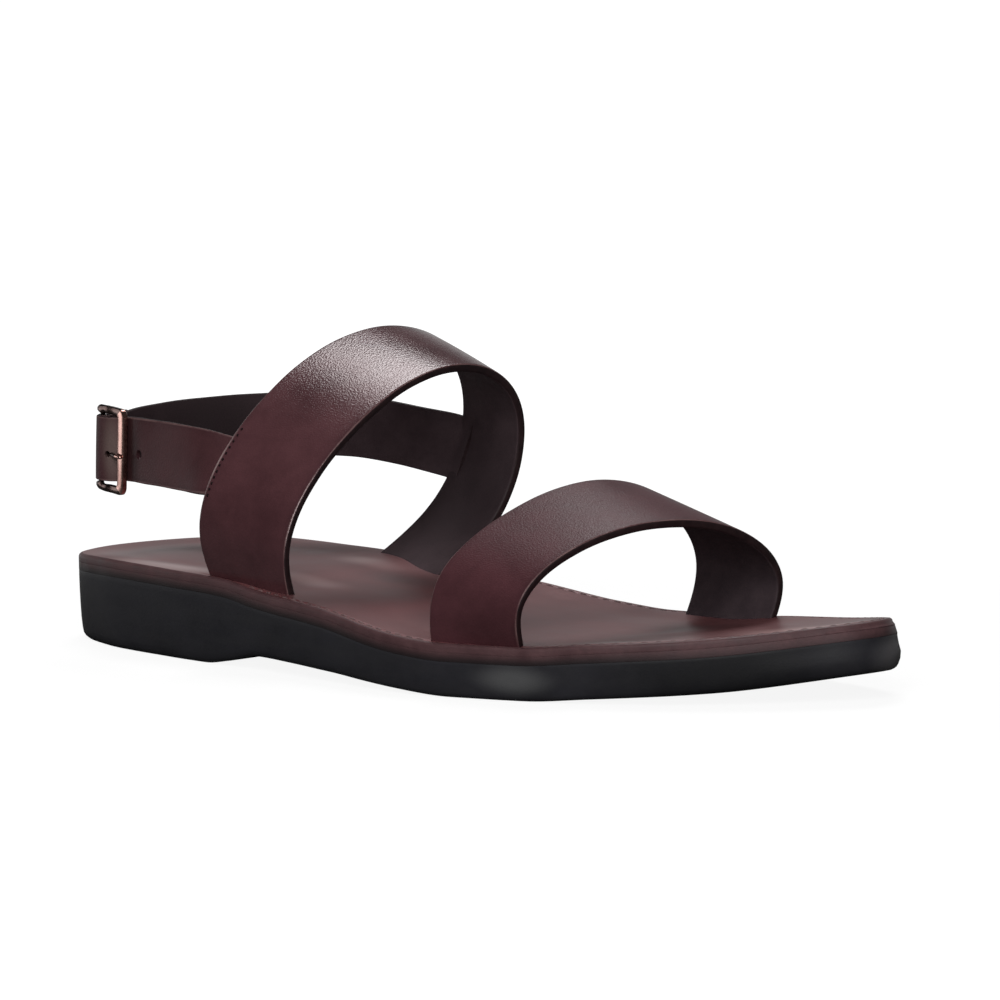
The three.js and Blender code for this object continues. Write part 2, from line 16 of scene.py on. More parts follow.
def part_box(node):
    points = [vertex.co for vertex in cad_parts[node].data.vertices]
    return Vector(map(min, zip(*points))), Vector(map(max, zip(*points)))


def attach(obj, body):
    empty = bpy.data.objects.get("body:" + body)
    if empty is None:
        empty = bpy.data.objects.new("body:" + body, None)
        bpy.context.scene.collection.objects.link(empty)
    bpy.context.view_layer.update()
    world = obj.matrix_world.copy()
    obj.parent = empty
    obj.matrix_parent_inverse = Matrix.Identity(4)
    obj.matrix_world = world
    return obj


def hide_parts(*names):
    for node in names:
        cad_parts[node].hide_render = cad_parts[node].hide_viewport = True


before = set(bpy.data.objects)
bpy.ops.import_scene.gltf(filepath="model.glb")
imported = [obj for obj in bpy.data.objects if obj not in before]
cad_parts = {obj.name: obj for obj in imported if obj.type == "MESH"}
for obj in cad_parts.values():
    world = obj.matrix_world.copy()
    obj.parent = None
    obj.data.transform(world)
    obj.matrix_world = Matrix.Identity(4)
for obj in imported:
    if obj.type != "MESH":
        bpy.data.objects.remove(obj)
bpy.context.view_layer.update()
MM = 0.001
print("CAD nodes:", sorted(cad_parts))

# %% [markdown]
# ## The outline of the sole
#
# A shoemaker starts from a last, so this script does too: x runs from the back of the heel, y from the
# middle of the last towards the inner side of the foot, and z from the floor, all in millimetres.
# A closed Catmull-Rom curve through a few corner points gives the outline seen from above.
# Comparing it with the CAD sole tells where the last stands in the frame.

# %% Outline of the sole
OUTLINE = np.array([
    (0, 1), (9, -22), (30, -34), (62, -41), (99, -45.3), (139, -51), (174, -54.4), (204, -48.6),
    (231, -38.6), (256, -23), (277, -3.2), (290, 16.2), (283, 32.4), (262, 41), (225, 44.9),
    (190, 42.7), (149, 37), (110, 32.8), (70, 34.4), (31, 34), (8, 23.8),
])


def closed_outline(corners, points_each=40):
    """Centripetal Catmull-Rom curve round all corners."""
    count = len(corners)
    share = np.linspace(0, 1, points_each, endpoint=False)[:, None]
    runs = []
    for i in range(count):
        before, start, end, after = (corners[(i + k - 1) % count] for k in range(4))
        first, middle, last = (
            np.sqrt(np.linalg.norm(b - a)) for a, b in ((before, start), (start, end), (end, after))
        )
        leave = (start - before) / first - (end - before) / (first + middle) + (end - start) / middle
        arrive = (end - start) / middle - (after - start) / (middle + last) + (after - end) / last
        runs.append(
            start * (2 * share**3 - 3 * share**2 + 1)
            + end * (3 * share**2 - 2 * share**3)
            + leave * middle * (share**3 - 2 * share**2 + share)
            + arrive * middle * (share**3 - share**2)
        )
    return np.vstack(runs)


outline = closed_outline(OUTLINE)
sole_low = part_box("outsole")[0]
last_place = np.array([sole_low.x / MM - outline[:, 0].min(), sole_low.y / MM - outline[:, 1].min(), 0])


def to_frame(points):
    """Points of the last, in millimetres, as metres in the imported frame."""
    return (np.asarray(points, float) + last_place) * MM


print("last stands at", np.round(last_place, 3), "mm")

# %% [markdown]
# ## Camera
#
# The photograph was taken with a long lens from the front of the outer side, a little above the footbed.
# The camera is placed by that viewing angle and then turned so that the sandal sits where the picture
# has it.

# %% Camera
FRAME_PIXELS = 1000
CAMERA_DISTANCE = 2200 * MM
CAMERA_AZIMUTH = math.radians(45)
CAMERA_ELEVATION = math.radians(6.99)
CAMERA_ROLL = math.radians(-0.89)
FOCAL_PIXELS = 7755
AIM_POINT = Vector(to_frame((145, 0, 20)))
AIM_PIXEL = (459.9, 595.0)         # where the photograph shows that point
AWAY = (-math.sin(CAMERA_AZIMUTH), math.cos(CAMERA_AZIMUTH), 0)    # level, from the camera to the sandal

camera = bpy.data.objects.new("camera", bpy.data.cameras.new("camera"))
bpy.context.scene.collection.objects.link(camera)
bpy.context.scene.camera = camera
camera.data.sensor_width = 36
camera.data.lens = camera.data.sensor_width * FOCAL_PIXELS / FRAME_PIXELS
camera.data.clip_end = 50

flat = math.cos(CAMERA_ELEVATION)
towards = Vector((AWAY[0] * flat, AWAY[1] * flat, -math.sin(CAMERA_ELEVATION)))
level = Vector((math.cos(CAMERA_AZIMUTH), math.sin(CAMERA_AZIMUTH), 0))
upward = level.cross(towards)
right = level * math.cos(CAMERA_ROLL) + upward * math.sin(CAMERA_ROLL)
up = upward * math.cos(CAMERA_ROLL) - level * math.sin(CAMERA_ROLL)
to_right = (FRAME_PIXELS / 2 - AIM_PIXEL[0]) / FOCAL_PIXELS
to_top = (AIM_PIXEL[1] - FRAME_PIXELS / 2) / FOCAL_PIXELS
look = (towards + right * to_right + up * to_top).normalized()
right = (right - look * right.dot(look)).normalized()
up = right.cross(look)
stand = Matrix((right, up, -look)).transposed().to_4x4()
stand.translation = AIM_POINT - towards * CAMERA_DISTANCE
camera.matrix_world = stand
print("camera lens %.1f mm" % camera.data.lens)

# %% [markdown]
# ## Floor and studio light
#
# The picture has a clean white ground. A softbox above and behind the heel gives the broad gloss on the
# crowns of the straps, a bright backdrop shines along the footbed, a soft lamp above the camera and a low
# one beside it light the flanks, and a narrow strip on the heel side draws the edges of the buckle.
# Hardly any light comes from below. The floor therefore looks white to the camera, with a faint shadow,
# but is dark in reflections, apart from its far part behind the sandal, which shines along the lifted toe.

# %% Shader node helpers
def feed(tree, socket, value):
    """Links another node's output to a socket, or sets a plain value there."""
    if isinstance(value, bpy.types.NodeSocket):
        tree.links.new(value, socket)
    elif socket.type == "RGBA":
        socket.default_value = (*value, 1)
    else:
        socket.default_value = value


def add(tree, kind, *in_order, out=0, **named):
    """New node: lower-case names are properties, all else goes to sockets; returns one output, or all."""
    node = tree.nodes.new("ShaderNode" + kind)
    for name in filter(str.islower, named):
        setattr(node, name, named[name])
    for socket, value in zip(node.inputs, in_order):
        feed(tree, socket, value)
    for name, value in named.items():
        if not name.islower():
            feed(tree, node.inputs[name.replace("_", " ")], value)
    return node.outputs if out is None else node.outputs[out]


def ranged(tree, value, first, last, low=0, high=1):
    """Value that goes evenly from first to last while the given one goes from low to high."""
    return add(tree, "MapRange", value, low, high, first, last)


def eased(tree, value, low, high, first=0, last=1):
    """The same with a soft start and end."""
    return add(tree, "MapRange", value, low, high, first, last, interpolation_type="SMOOTHSTEP")


def times(tree, value, other):
    return add(tree, "Math", value, other, operation="MULTIPLY")


print("node helpers ready")

# %% Floor
FLOOR_HALF = 6.0
FLOOR_DROP = 0.0002                # keeps it clear of the rubber
floor_mesh = bpy.data.meshes.new("floor")
floor_mesh.from_pydata(
    [(x * FLOOR_HALF, y * FLOOR_HALF, 0) for x, y in ((-1, -1), (1, -1), (1, 1), (-1, 1))],
    [], [(0, 1, 2, 3)])
floor = bpy.data.objects.new("floor", floor_mesh)
floor.location.z = -FLOOR_DROP
bpy.context.scene.collection.objects.link(floor)

white_floor = bpy.data.materials.new("white_floor")
white_floor.use_nodes = True
tree = white_floor.node_tree
tree.nodes.remove(tree.nodes["Principled BSDF"])
floor_place = add(tree, "TexCoord", out="Object")
from_sandal = add(tree, "VectorMath", floor_place, operation="LENGTH", out="Value")
behind_sandal = add(tree, "VectorMath", floor_place, AWAY, operation="DOT_PRODUCT", out="Value")
glow = ranged(tree, from_sandal, 0.90, 1.05, 0.2, 0.8)
far_glow = ranged(tree, behind_sandal, 0, 1, 0.2, 0.7)
dark_cloth, paper = (
    add(tree, "BsdfPrincipled", Base_Color=(grey, grey, grey), Roughness=0.9, Specular_IOR_Level=0.0,
        Emission_Color=(1, 1, 1), Emission_Strength=strength)
    for grey, strength in ((0.10, far_glow), (0.13, glow))
)
to_camera = add(tree, "LightPath", out="Is Camera Ray")
picked = add(tree, "MixShader", to_camera, dark_cloth, paper)
feed(tree, tree.nodes["Material Output"].inputs["Surface"], picked)
floor_mesh.materials.append(white_floor)
print("floor is", 2 * FLOOR_HALF, "m wide")

# %% World and lamps
SEEN_BACKDROP = 1.05               # strength that the camera sees
bpy.context.scene.view_settings.view_transform = "Standard"
world = bpy.data.worlds.new("studio")
bpy.context.scene.world = world
world.use_nodes = True
tree = world.node_tree
ray_way = add(tree, "TexCoord", out="Generated")
height = add(tree, "SeparateXYZ", ray_way, out="Z")
behind = add(tree, "VectorMath", ray_way, AWAY, operation="DOT_PRODUCT", out="Value")
sheet = times(tree, eased(tree, behind, 0.3, 0.9), eased(tree, height, 0.12, 0.42, 1, 0))
fade = eased(tree, sheet, 0, 1, 0.06, 0.56)
to_camera = add(tree, "LightPath", out="Is Camera Ray")
strength = add(tree, "Mix", data_type="FLOAT", Factor=to_camera, A=fade, B=SEEN_BACKDROP)
backdrop = tree.nodes["Background"]
backdrop.inputs["Color"].default_value = (1, 1, 1, 1)
feed(tree, backdrop.inputs["Strength"], strength)


def soft_lamp(name, towards_lamp, distance, size, radiance, aim=(-0.035, 0.0, 0.06)):
    """Rectangular lamp at a distance from aim; radiance is how bright its face looks."""
    back = Vector(towards_lamp).normalized()
    side = (Vector((1, 0, 0)) - back * back.x).normalized()
    if abs(back.x) > 0.9:
        side = Vector((0, 0, 1)).cross(back).normalized()
    lamp = bpy.data.objects.new(name, bpy.data.lights.new(name, "AREA"))
    lamp.data.shape = "RECTANGLE"
    lamp.data.size, lamp.data.size_y = size
    lamp.data.energy = radiance * math.pi * size[0] * size[1]
    placed = Matrix((side, back.cross(side), back)).transposed().to_4x4()
    placed.translation = Vector(aim) + back * distance
    lamp.matrix_world = placed
    lamp.visible_camera = False
    bpy.context.scene.collection.objects.link(lamp)


soft_lamp("crown_softbox", (-0.29, 0.37, 0.88), 2.4, (0.85, 1.2), 9.5)
soft_lamp("front_lamp", (0.5, -0.66, 0.56), 2.0, (1.0, 1.0), 7.0)
soft_lamp("low_fill", (0.70, -0.72, 0.15), 2.3, (0.9, 0.9), 6.0)
soft_lamp("heel_strip", (-0.95, -0.30, 0.0), 0.40, (0.12, 0.22), 1.4, aim=(-0.105, -0.034, 0.08))
print("studio has", len(bpy.data.lights), "lamps")

# %% [markdown]
# ## Curves
#
# Two kinds of curve shape the whole sandal. A natural cubic spline is supple, like a strap held at a few
# places. A steady curve never overshoots its rows, so the flat underside of the heel stays flat.

# %% Curves through rows
def natural_spline(knots, values):
    """Cubic through all rows of values with no bend at its two ends."""
    knots = np.asarray(knots, float)
    values = np.asarray(values, float)
    step = np.diff(knots)
    system = np.eye(len(knots))
    pull = np.zeros_like(values)
    for i in range(1, len(knots) - 1):
        system[i, i - 1:i + 2] = step[i - 1], 2 * (step[i - 1] + step[i]), step[i]
        pull[i] = 6 * ((values[i + 1] - values[i]) / step[i] - (values[i] - values[i - 1]) / step[i - 1])
    bends = np.linalg.solve(system, pull)

    def curve(at):
        at = np.atleast_1d(at)
        i = np.clip(np.searchsorted(knots, at) - 1, 0, len(step) - 1)
        span = step[i][:, None]
        to_end = (knots[i + 1] - at)[:, None] / span
        from_start = (at - knots[i])[:, None] / span
        cubic = (to_end**3 - to_end) * bends[i] + (from_start**3 - from_start) * bends[i + 1]
        return to_end * values[i] + from_start * values[i + 1] + cubic * span**2 / 6

    return curve


def steady_curve(xs, ys):
    """Cubic that never overshoots its rows."""
    xs = np.asarray(xs, float)
    ys = np.asarray(ys, float)
    chord = np.diff(ys) / np.diff(xs)
    slope = np.r_[chord[0], np.zeros(len(xs) - 2), chord[-1]]
    for i in range(1, len(xs) - 1):
        if chord[i - 1] * chord[i] > 0:
            slope[i] = 2 * chord[i - 1] * chord[i] / (chord[i - 1] + chord[i])

    def curve(x):
        x = np.clip(x, xs[0], xs[-1])
        i = np.clip(np.searchsorted(xs, x) - 1, 0, len(chord) - 1)
        span = xs[i + 1] - xs[i]
        t = (x - xs[i]) / span
        rise = t * t * (3 - 2 * t)
        bend = slope[i] * t * (1 - t) ** 2 - slope[i + 1] * t * t * (1 - t)
        return ys[i] + (ys[i + 1] - ys[i]) * rise + span * bend

    return curve


def smooth_step(value, low, high):
    t = np.clip((np.asarray(value, float) - low) / (high - low), 0, 1)
    return t * t * (3 - 2 * t)


print("curves ready")

# %% [markdown]
# ## Sole layers
#
# The rubber is one moulding with a low heel, an arch and a toe that lifts off the floor. Two sheets of
# leather are glued on it. Each layer is a stack of rings round the outline. A ring knows how far it is
# pulled in and its height along the foot, so rounding an edge only means adding rings. A grid of quads
# closes the top and bottom.

# %% Heights of the sole
RUBBER = np.array([
    # x, underside, top
    (0, 0, 19.2), (40, 0, 20.9), (83, 0, 20.4), (94, 1.4, 19.9), (109, 4.0, 18.0), (140, 3.0, 15.6),
    (170, 1.2, 11.5), (190, 0, 10.0), (212, 0, 10.0), (230, 1.2, 11.3), (260, 3.4, 13.5), (290, 8.2, 17.8),
])
GLUE_GAP = 0.3
LEATHER_LAYER = 2.2
rubber_under = steady_curve(RUBBER[:, 0], RUBBER[:, 1])
rubber_top = steady_curve(RUBBER[:, 0], RUBBER[:, 2])


def midsole_under(x):
    return rubber_top(x) + GLUE_GAP


def midsole_top(x):
    return midsole_under(x) + LEATHER_LAYER


def insole_under(x):
    return midsole_top(x) + GLUE_GAP


def insole_top(x):
    return insole_under(x) + LEATHER_LAYER


print("sole is %.1f mm high at the heel" % insole_top(0))

# %% Rings round the sole
STATIONS = 200


def unit(vectors):
    return vectors / np.linalg.norm(vectors, axis=-1, keepdims=True)


def run_lengths(points):
    """Length along a line of points, at each of them."""
    return np.r_[0, np.cumsum(np.linalg.norm(np.diff(points, axis=0), axis=1))]


def hand_cut(length, seed):
    """Small unevenness of a hand-cut edge, in millimetres, never above zero."""
    wave = np.sin(length / 6.1 + seed) + 0.7 * np.sin(length / 2.7 + 2.3 * seed)
    return -0.05 * (1.7 + wave)


def toe_end(x):
    """0 on the foot, 1 at the tip of the toe."""
    return smooth_step(x, 262, 288)


TOE_SLANT = 2.0
outline_along = unit(np.roll(outline, -1, 0) - np.roll(outline, 1, 0))
outline_inward = np.c_[-outline_along[:, 1], outline_along[:, 0]]
outline_length = run_lengths(outline)


def slanted(inset, slant):
    """How far each point of the outline is pulled in; slant adds to it at the tip of the toe."""
    return (inset + slant * toe_end(outline[:, 0]))[:, None]


top_outline = outline + slanted(0, TOE_SLANT) * outline_inward


def sole_sides(inset, slant, cut_seed=None):
    """x, outer y and inner y at each station, with the outline pulled in."""
    pulled_in = slanted(inset, slant)
    if cut_seed is not None:
        pulled_in = pulled_in - hand_cut(outline_length, cut_seed)[:, None]
    moved = outline + pulled_in * outline_inward
    moved = np.roll(moved, -moved[:, 0].argmin(), 0)
    toe = moved[:, 0].argmax()
    outer = moved[:toe + 1]
    inner = np.vstack([moved[toe:], moved[:1]])[::-1]
    share = (1 - np.cos(np.pi * np.arange(STATIONS + 1) / STATIONS)) / 2
    x = outer[0, 0] + (outer[-1, 0] - outer[0, 0]) * share
    sides = [np.interp(x, np.maximum.accumulate(run[:, 0]), run[:, 1]) for run in (outer, inner)]
    return x, *sides


def edge_distance(x, y):
    """Distance of each point from the edge of the footbed seen from above."""
    flat = np.c_[np.ravel(x), np.ravel(y)]
    near = [
        np.sqrt(((part[:, None] - top_outline) ** 2).sum(2).min(1)) for part in np.array_split(flat, 40)
    ]
    return np.concatenate(near).reshape(np.shape(x))


print("outline is %.0f mm long" % outline_length[-1])

# %% Layers from rings
RIM_COLUMNS = np.array((0.5, 1.0, 1.35, 1.65, 2.0, 2.35, 2.65, 3.0, 3.6, 4.8, 7.0))
FULL_WIDTH = 24                    # where the layer is narrower, the rim columns move together


def cap_grid(inset, slant, height, columns, cut_seed):
    """Grid of points over the whole layer: a row per station, columns from the outer to the inner side."""
    x, outer, inner = sole_sides(inset, slant, cut_seed)
    width = (inner - outer)[:, None]
    if columns > 2 * len(RIM_COLUMNS) + 2:
        rim = RIM_COLUMNS * np.minimum(1, width / FULL_WIDTH)
        share = np.linspace(0, 1, columns - 2 * len(RIM_COLUMNS) - 1)
        last = rim[:, -1:]
        middle = last + (width - 2 * last) * share
        from_outer = np.hstack([0 * last, rim[:, :-1], middle, width - rim[:, -2::-1], width])
    else:
        from_outer = width * np.linspace(0, 1, columns + 1)
    y = outer[:, None] + from_outer
    grid_x = np.repeat(x[:, None], y.shape[1], 1)
    return np.dstack([grid_x, y, height(grid_x, y)])


def ring_points(inset, slant, height, cut_seed=None):
    x, outer, inner = sole_sides(inset, slant, cut_seed)
    z = height(x)
    return np.vstack([np.c_[x, outer, z], np.c_[x, inner, z][-2:0:-1]])


def new_piece(name, points, faces, materials=None):
    """Mesh object from points of the last."""
    mesh = bpy.data.meshes.new(name)
    mesh.from_pydata(to_frame(points).tolist(), [], faces)
    piece = bpy.data.objects.new(name, mesh)
    bpy.context.scene.collection.objects.link(piece)
    for _ in range(1 if materials is None else max(materials) + 1):
        mesh.materials.append(None)
    if materials is not None:
        mesh.polygons.foreach_set("material_index", materials)
    mesh.validate()
    return piece


def lathe_faces(rings, sides, closed=False, first=0):
    """Quads between rings of points from the first point on; closed joins the last ring to the first."""
    faces = []
    for i in range(rings if closed else rings - 1):
        here = first + i * sides
        there = first + (i + 1) % rings * sides
        for k in range(sides):
            after = (k + 1) % sides
            faces.append((here + k, here + after, there + after, there + k))
    return faces


def sole_layer(name, rings, bottom, top, cut_seed):
    """Closed layer: rings of (inset, slant, height) from below up, bottom and top of (height, columns)."""
    count = 2 * STATIONS
    points = [ring_points(*ring, cut_seed) for ring in rings]
    faces = lathe_faces(len(rings), count)
    materials = [0] * len(faces)
    filled = count * len(rings)
    for ring, (height, columns), upward_face in ((0, bottom, False), (len(rings) - 1, top, True)):
        grid = cap_grid(*rings[ring][:2], height, columns, cut_seed)
        columns = grid.shape[1] - 1
        points.append(grid[1:-1, 1:-1].reshape(-1, 3))

        def index(k, c, ring=ring, columns=columns, filled=filled):
            if k in (0, STATIONS) or c == 0:
                return ring * count + k
            if c == columns:
                return ring * count + (count - k)
            return filled + (k - 1) * (columns - 1) + c - 1

        for k in range(STATIONS):
            for c in range(columns):
                loop = [index(k, c), index(k + 1, c), index(k + 1, c + 1), index(k, c + 1)]
                loop = list(dict.fromkeys(loop))
                faces.append(loop if upward_face else loop[::-1])
                materials.append(1 if upward_face else 2)
        filled += (STATIONS - 1) * (columns - 1)
    return new_piece(name, np.vstack(points), faces, materials)


def over(height):
    """Cap height that only depends on x."""
    return lambda x, y: height(x)


print("rings have", 2 * STATIONS, "points")

# %% Rubber outsole
RUBBER_SIDE = [
    # share of the height, pulled in
    (0, 2.3), (0.03, 1.55), (0.07, 1.05), (0.15, 0.75), (0.3, 0.45), (0.5, 0.25),
    (0.72, 0.1), (0.92, 0.02), (0.985, 0.03), (1, 0.1),
]
RUBBER_SLANT = 0.6                 # how far the toe end leans back at the top of the rubber
TOE_BULGE = 0.7                    # how far it stands out at half height
GROUND_EDGE = 1.0                  # the layers are ground flush, so their edges share one unevenness
TREAD_DEPTH = 0.7
TREAD_PITCH = 6.5


def tread(x, y):
    """Underside with shallow wavy cross grooves that stop short of the edge."""
    wave = np.abs(np.sin(np.pi * (x + 1.6 * np.sin(y / 5)) / TREAD_PITCH))
    groove = 1 - smooth_step(wave, 0.16, 0.4)
    inside = smooth_step(edge_distance(x, y), 5, 8)
    return rubber_under(x) + TREAD_DEPTH * groove * inside


def toe_lean(rise):
    """How far the toe end of the rubber is pulled in at a share of its height."""
    bulge = TOE_BULGE * math.sin(math.pi * min(1, 1.3 * rise))
    return RUBBER_SLANT * float(smooth_step(rise, 0.5, 1)) - bulge


def rubber_height(rise):
    """Height at a share of the rubber's thickness."""
    return lambda x: rubber_under(x) + (rubber_top(x) - rubber_under(x)) * rise


outsole = sole_layer(
    "outsole_rubber",
    [(inset, toe_lean(rise), rubber_height(rise)) for rise, inset in RUBBER_SIDE],
    (tread, 60), (over(rubber_top), 8), GROUND_EDGE)
print("outsole", len(outsole.data.polygons), "faces")

# %% Leather midsole and footbed
EDGE_ROLL, GROUND_CORNER = 1.1, 0.04    # rounding of the footbed's rim and of the midsole's edge
SINK_DEEPEST = 0.75
SEAM_INSET, SEAM_DEPTH = 2.7, 0.3
SEAM_START = 88                    # the seam shows from the waist to the toe, and no stitch on the heel
UNEVEN = 0.09                      # slow waves of worn leather
TOE_ROLL = 0.4                     # how far the rim bends down round the toe
MIDDLE_SLANT = (RUBBER_SLANT + TOE_SLANT) / 2


def footbed_rim(x):
    """Height of the footbed's rim."""
    return insole_top(x) - TOE_ROLL * toe_end(x)


def footbed(x, y):
    """Top of the insole: pressed in a little where a foot stands, with a channel for the seam."""
    edge = edge_distance(x, y)
    under_heel = np.exp(-(((x - 42) / 34) ** 2))
    under_ball = np.exp(-(((x - 205) / 45) ** 2))
    sink = SINK_DEEPEST * (0.45 + 0.55 * np.maximum(under_heel, under_ball)) * smooth_step(edge, 3, 16)
    channel = SEAM_DEPTH * (1 - smooth_step(np.abs(edge - SEAM_INSET), 0.15, 0.7))
    channel = channel * smooth_step(x, SEAM_START - 8, SEAM_START)
    wave = np.sin(x / 9 + 1.1 * np.sin(y / 15)) * np.cos(y / 12 + x / 40) + np.sin(x / 23 - y / 17)
    inside = smooth_step(edge, 0.5, 9)
    level = footbed_rim(x) + (insole_top(x) - footbed_rim(x)) * inside
    return level - sink - channel + UNEVEN * wave * smooth_step(edge, 5, 14)


def leather_sheet(name, glued, rim, roll, slants, bottom_columns, top):
    """Sheet whose underside all but touches the layer below; its top edge is rolled."""
    def raised(amount):
        return lambda x: glued(x) - 0.9 * GLUE_GAP + amount

    rings = [(inset, slants[0], raised(amount)) for inset, amount in ((0.02, 0), (0.0, 0.06), (0.0, 0.2))]
    for angle in np.radians((0, 22.5, 45, 67.5, 90)):
        inset = roll * (1 - math.cos(angle))
        rings.append((inset, slants[1], lambda x, angle=angle: rim(x) - roll * (1 - math.sin(angle))))
    return sole_layer(name, rings, (over(raised(0)), bottom_columns), top, GROUND_EDGE)


midsole = leather_sheet(
    "midsole_leather", midsole_under, midsole_top, GROUND_CORNER, (RUBBER_SLANT, MIDDLE_SLANT), 4,
    (over(midsole_top), 4))
insole = leather_sheet(
    "footbed_leather", insole_under, footbed_rim, EDGE_ROLL, (MIDDLE_SLANT, TOE_SLANT), 8, (footbed, 66))
print("footbed", len(insole.data.polygons), "faces")

# %% [markdown]
# ## Straps
#
# A strap is a flat band that bends along its length. Its rows give the middle line, and the direction
# across the band at each row. A spline carries both, and a rounded section is swept along it with even
# steps. The outer grain side, the cut edges and the flesh side get their own material slots.

# %% Path of a strap
class StrapPath:
    """Middle line of a strap with its width and the directions along, across and out of it."""

    def __init__(self, middles, acrosses, widths):
        rows = np.column_stack([middles, acrosses, widths])
        gaps = np.linalg.norm(np.diff(rows[:, :3], axis=0), axis=1)
        self.knots = np.r_[0, np.cumsum(np.sqrt(gaps))]
        self.curve = natural_spline(self.knots, rows)
        self.fine = np.linspace(0, self.knots[-1], 2000)
        self.lengths = run_lengths(self.curve(self.fine)[:, :3])
        self.length = self.lengths[-1]

    def length_at_row(self, row):
        return np.interp(self.knots[row], self.fine, self.lengths)

    def at(self, length):
        """middle, along, across, out and width at these lengths from the path's start."""
        knot = np.interp(np.atleast_1d(length), self.lengths, self.fine)
        step = 1e-4 * self.knots[-1]
        rows = self.curve(knot)
        along = unit(self.curve(knot + step)[:, :3] - self.curve(knot - step)[:, :3])
        across = rows[:, 3:6]
        across = unit(across - (across * along).sum(1)[:, None] * along)
        return rows[:, :3], along, across, np.cross(across, along), rows[:, 6]

    def spot(self, length):
        """The same five at a single length."""
        return [part[0] for part in self.at(length)]


print("paths measure lengths in 2000 steps")

# %% Sweep of a strap
FACE_COLUMNS = 18
CORNER_STEPS = 4
GRAIN_SIDE, CUT_EDGE, FLESH_SIDE = 0, 1, 2


def strap_section():
    """Loop round the band, per point: side -1..1, swing, face 1 or -1, drop, bow, slot of the next face."""
    turns = np.radians(np.linspace(0, 90, CORNER_STEPS + 1))
    sides = np.sin(np.radians(np.linspace(90, -90, FACE_COLUMNS + 1)))

    def corner(side, face, turn):
        flat_slot, edge_from = (GRAIN_SIDE, 1) if face == 1 else (FLESH_SIDE, 0.5)
        slot = CUT_EDGE if turn > edge_from else flat_slot
        return side, side * np.sin(turn), face, 1 - np.cos(turn), 0, slot

    loop = [(c, 0, 1, 0, 1 - c * c, GRAIN_SIDE) for c in sides]
    loop += [corner(-1, 1, turn) for turn in turns[1:]]
    loop += [corner(-1, -1, turn) for turn in turns[::-1]]
    loop += [(-c, 0, -1, 0, 0, FLESH_SIDE) for c in sides[1:]]
    loop += [corner(1, -1, turn) for turn in turns[1:]]
    loop += [corner(1, 1, turn) for turn in turns[:0:-1]]
    return loop


def keep_rim(piece, distance):
    """Stores how near each point is to a cut edge: 1 at the edge, 0 from 3 mm inwards."""
    rim = piece.data.attributes.new("rim", "FLOAT", "POINT")
    rim.data.foreach_set("value", 1 - smooth_step(distance, 0.2, 3.0))


def sweep_strap(
        name, path, thickness, corner=0.75, crown=0.2, step=1.2, start=0.0, end=None, cut_seed=None):
    """Band along a path; thickness is a number, or a function of the length along it."""
    end = path.length if end is None else end
    count = max(8, int((end - start) / step))
    lengths = np.linspace(start, end, count + 1)
    middle, _, across, out, width = path.at(lengths)
    half = np.broadcast_to(thickness(lengths) if callable(thickness) else thickness, lengths.shape) / 2
    corners = np.minimum(corner, half * 0.9)
    section = strap_section()
    columns = []
    inward = []
    for side, swing, face, drop, bow, _ in section:
        reach = width / 2 - corners
        if cut_seed is not None:
            reach = reach + hand_cut(lengths, cut_seed + np.sign(side)) * abs(side)
        w = side * reach + swing * corners
        h = face * (half - drop * corners) + crown * bow
        columns.append(middle + across * w[:, None] + out * h[:, None])
        inward.append(width / 2 - np.abs(w))
    sides = len(section)
    faces = lathe_faces(count + 1, sides)
    faces.append(list(range(sides))[::-1])
    faces.append(list(range(count * sides, (count + 1) * sides)))
    materials = [point[5] for point in section] * count + [CUT_EDGE, CUT_EDGE]
    piece = new_piece(name, np.stack(columns, 1).reshape(-1, 3), faces, materials)
    keep_rim(piece, np.stack(inward, 1).ravel())
    return piece


print("a strap section has", len(strap_section()), "points")

# %% Cross straps
TOE_STRAP = np.array([
    # x, y, z, tilt, heading, width
    (196.2, -43.4, 9.0, 2.6, 19.0, 28.4),
    (199.3, -46.9, 28.1, 9.3, 5.0, 30.4),
    (203.4, -29.3, 43.1, 13.8, -8.3, 31.8),
    (210.9, -1.6, 50.4, 15.7, -11.8, 33.5),
    (214.3, 26.8, 44.1, 10.8, -7.0, 33.6),
    (213.7, 42.4, 28.3, 3.9, -2.1, 32.8),
    (213.7, 35.5, 9.6, -2.5, 3.0, 31.8),
])
INSTEP_STRAP = np.array([
    (102.0, -37.4, 17.4, 3.1, -5.4, 34),
    (104.0, -44.3, 40.8, 8.0, 4.2, 34),
    (107.9, -20.3, 72.2, 14.3, 4.8, 34),
    (111.1, 19.9, 86.9, 16.4, -3.6, 34),
    (111.6, 46.3, 74.1, 13.6, -14.3, 34),
    (105.8, 46.1, 42.1, 5.7, -15.5, 34),
    (99.9, 16.1, 18.4, -0.6, -2.5, 34),
])
STRAP_THICKNESS = 2.5


def cross_strap_path(table):
    tilt, heading = np.radians(table[:, 3]), np.radians(table[:, 4])
    across = np.c_[np.cos(tilt) * np.cos(heading), np.cos(tilt) * np.sin(heading), -np.sin(tilt)]
    return StrapPath(table[:, :3], across, table[:, 5])


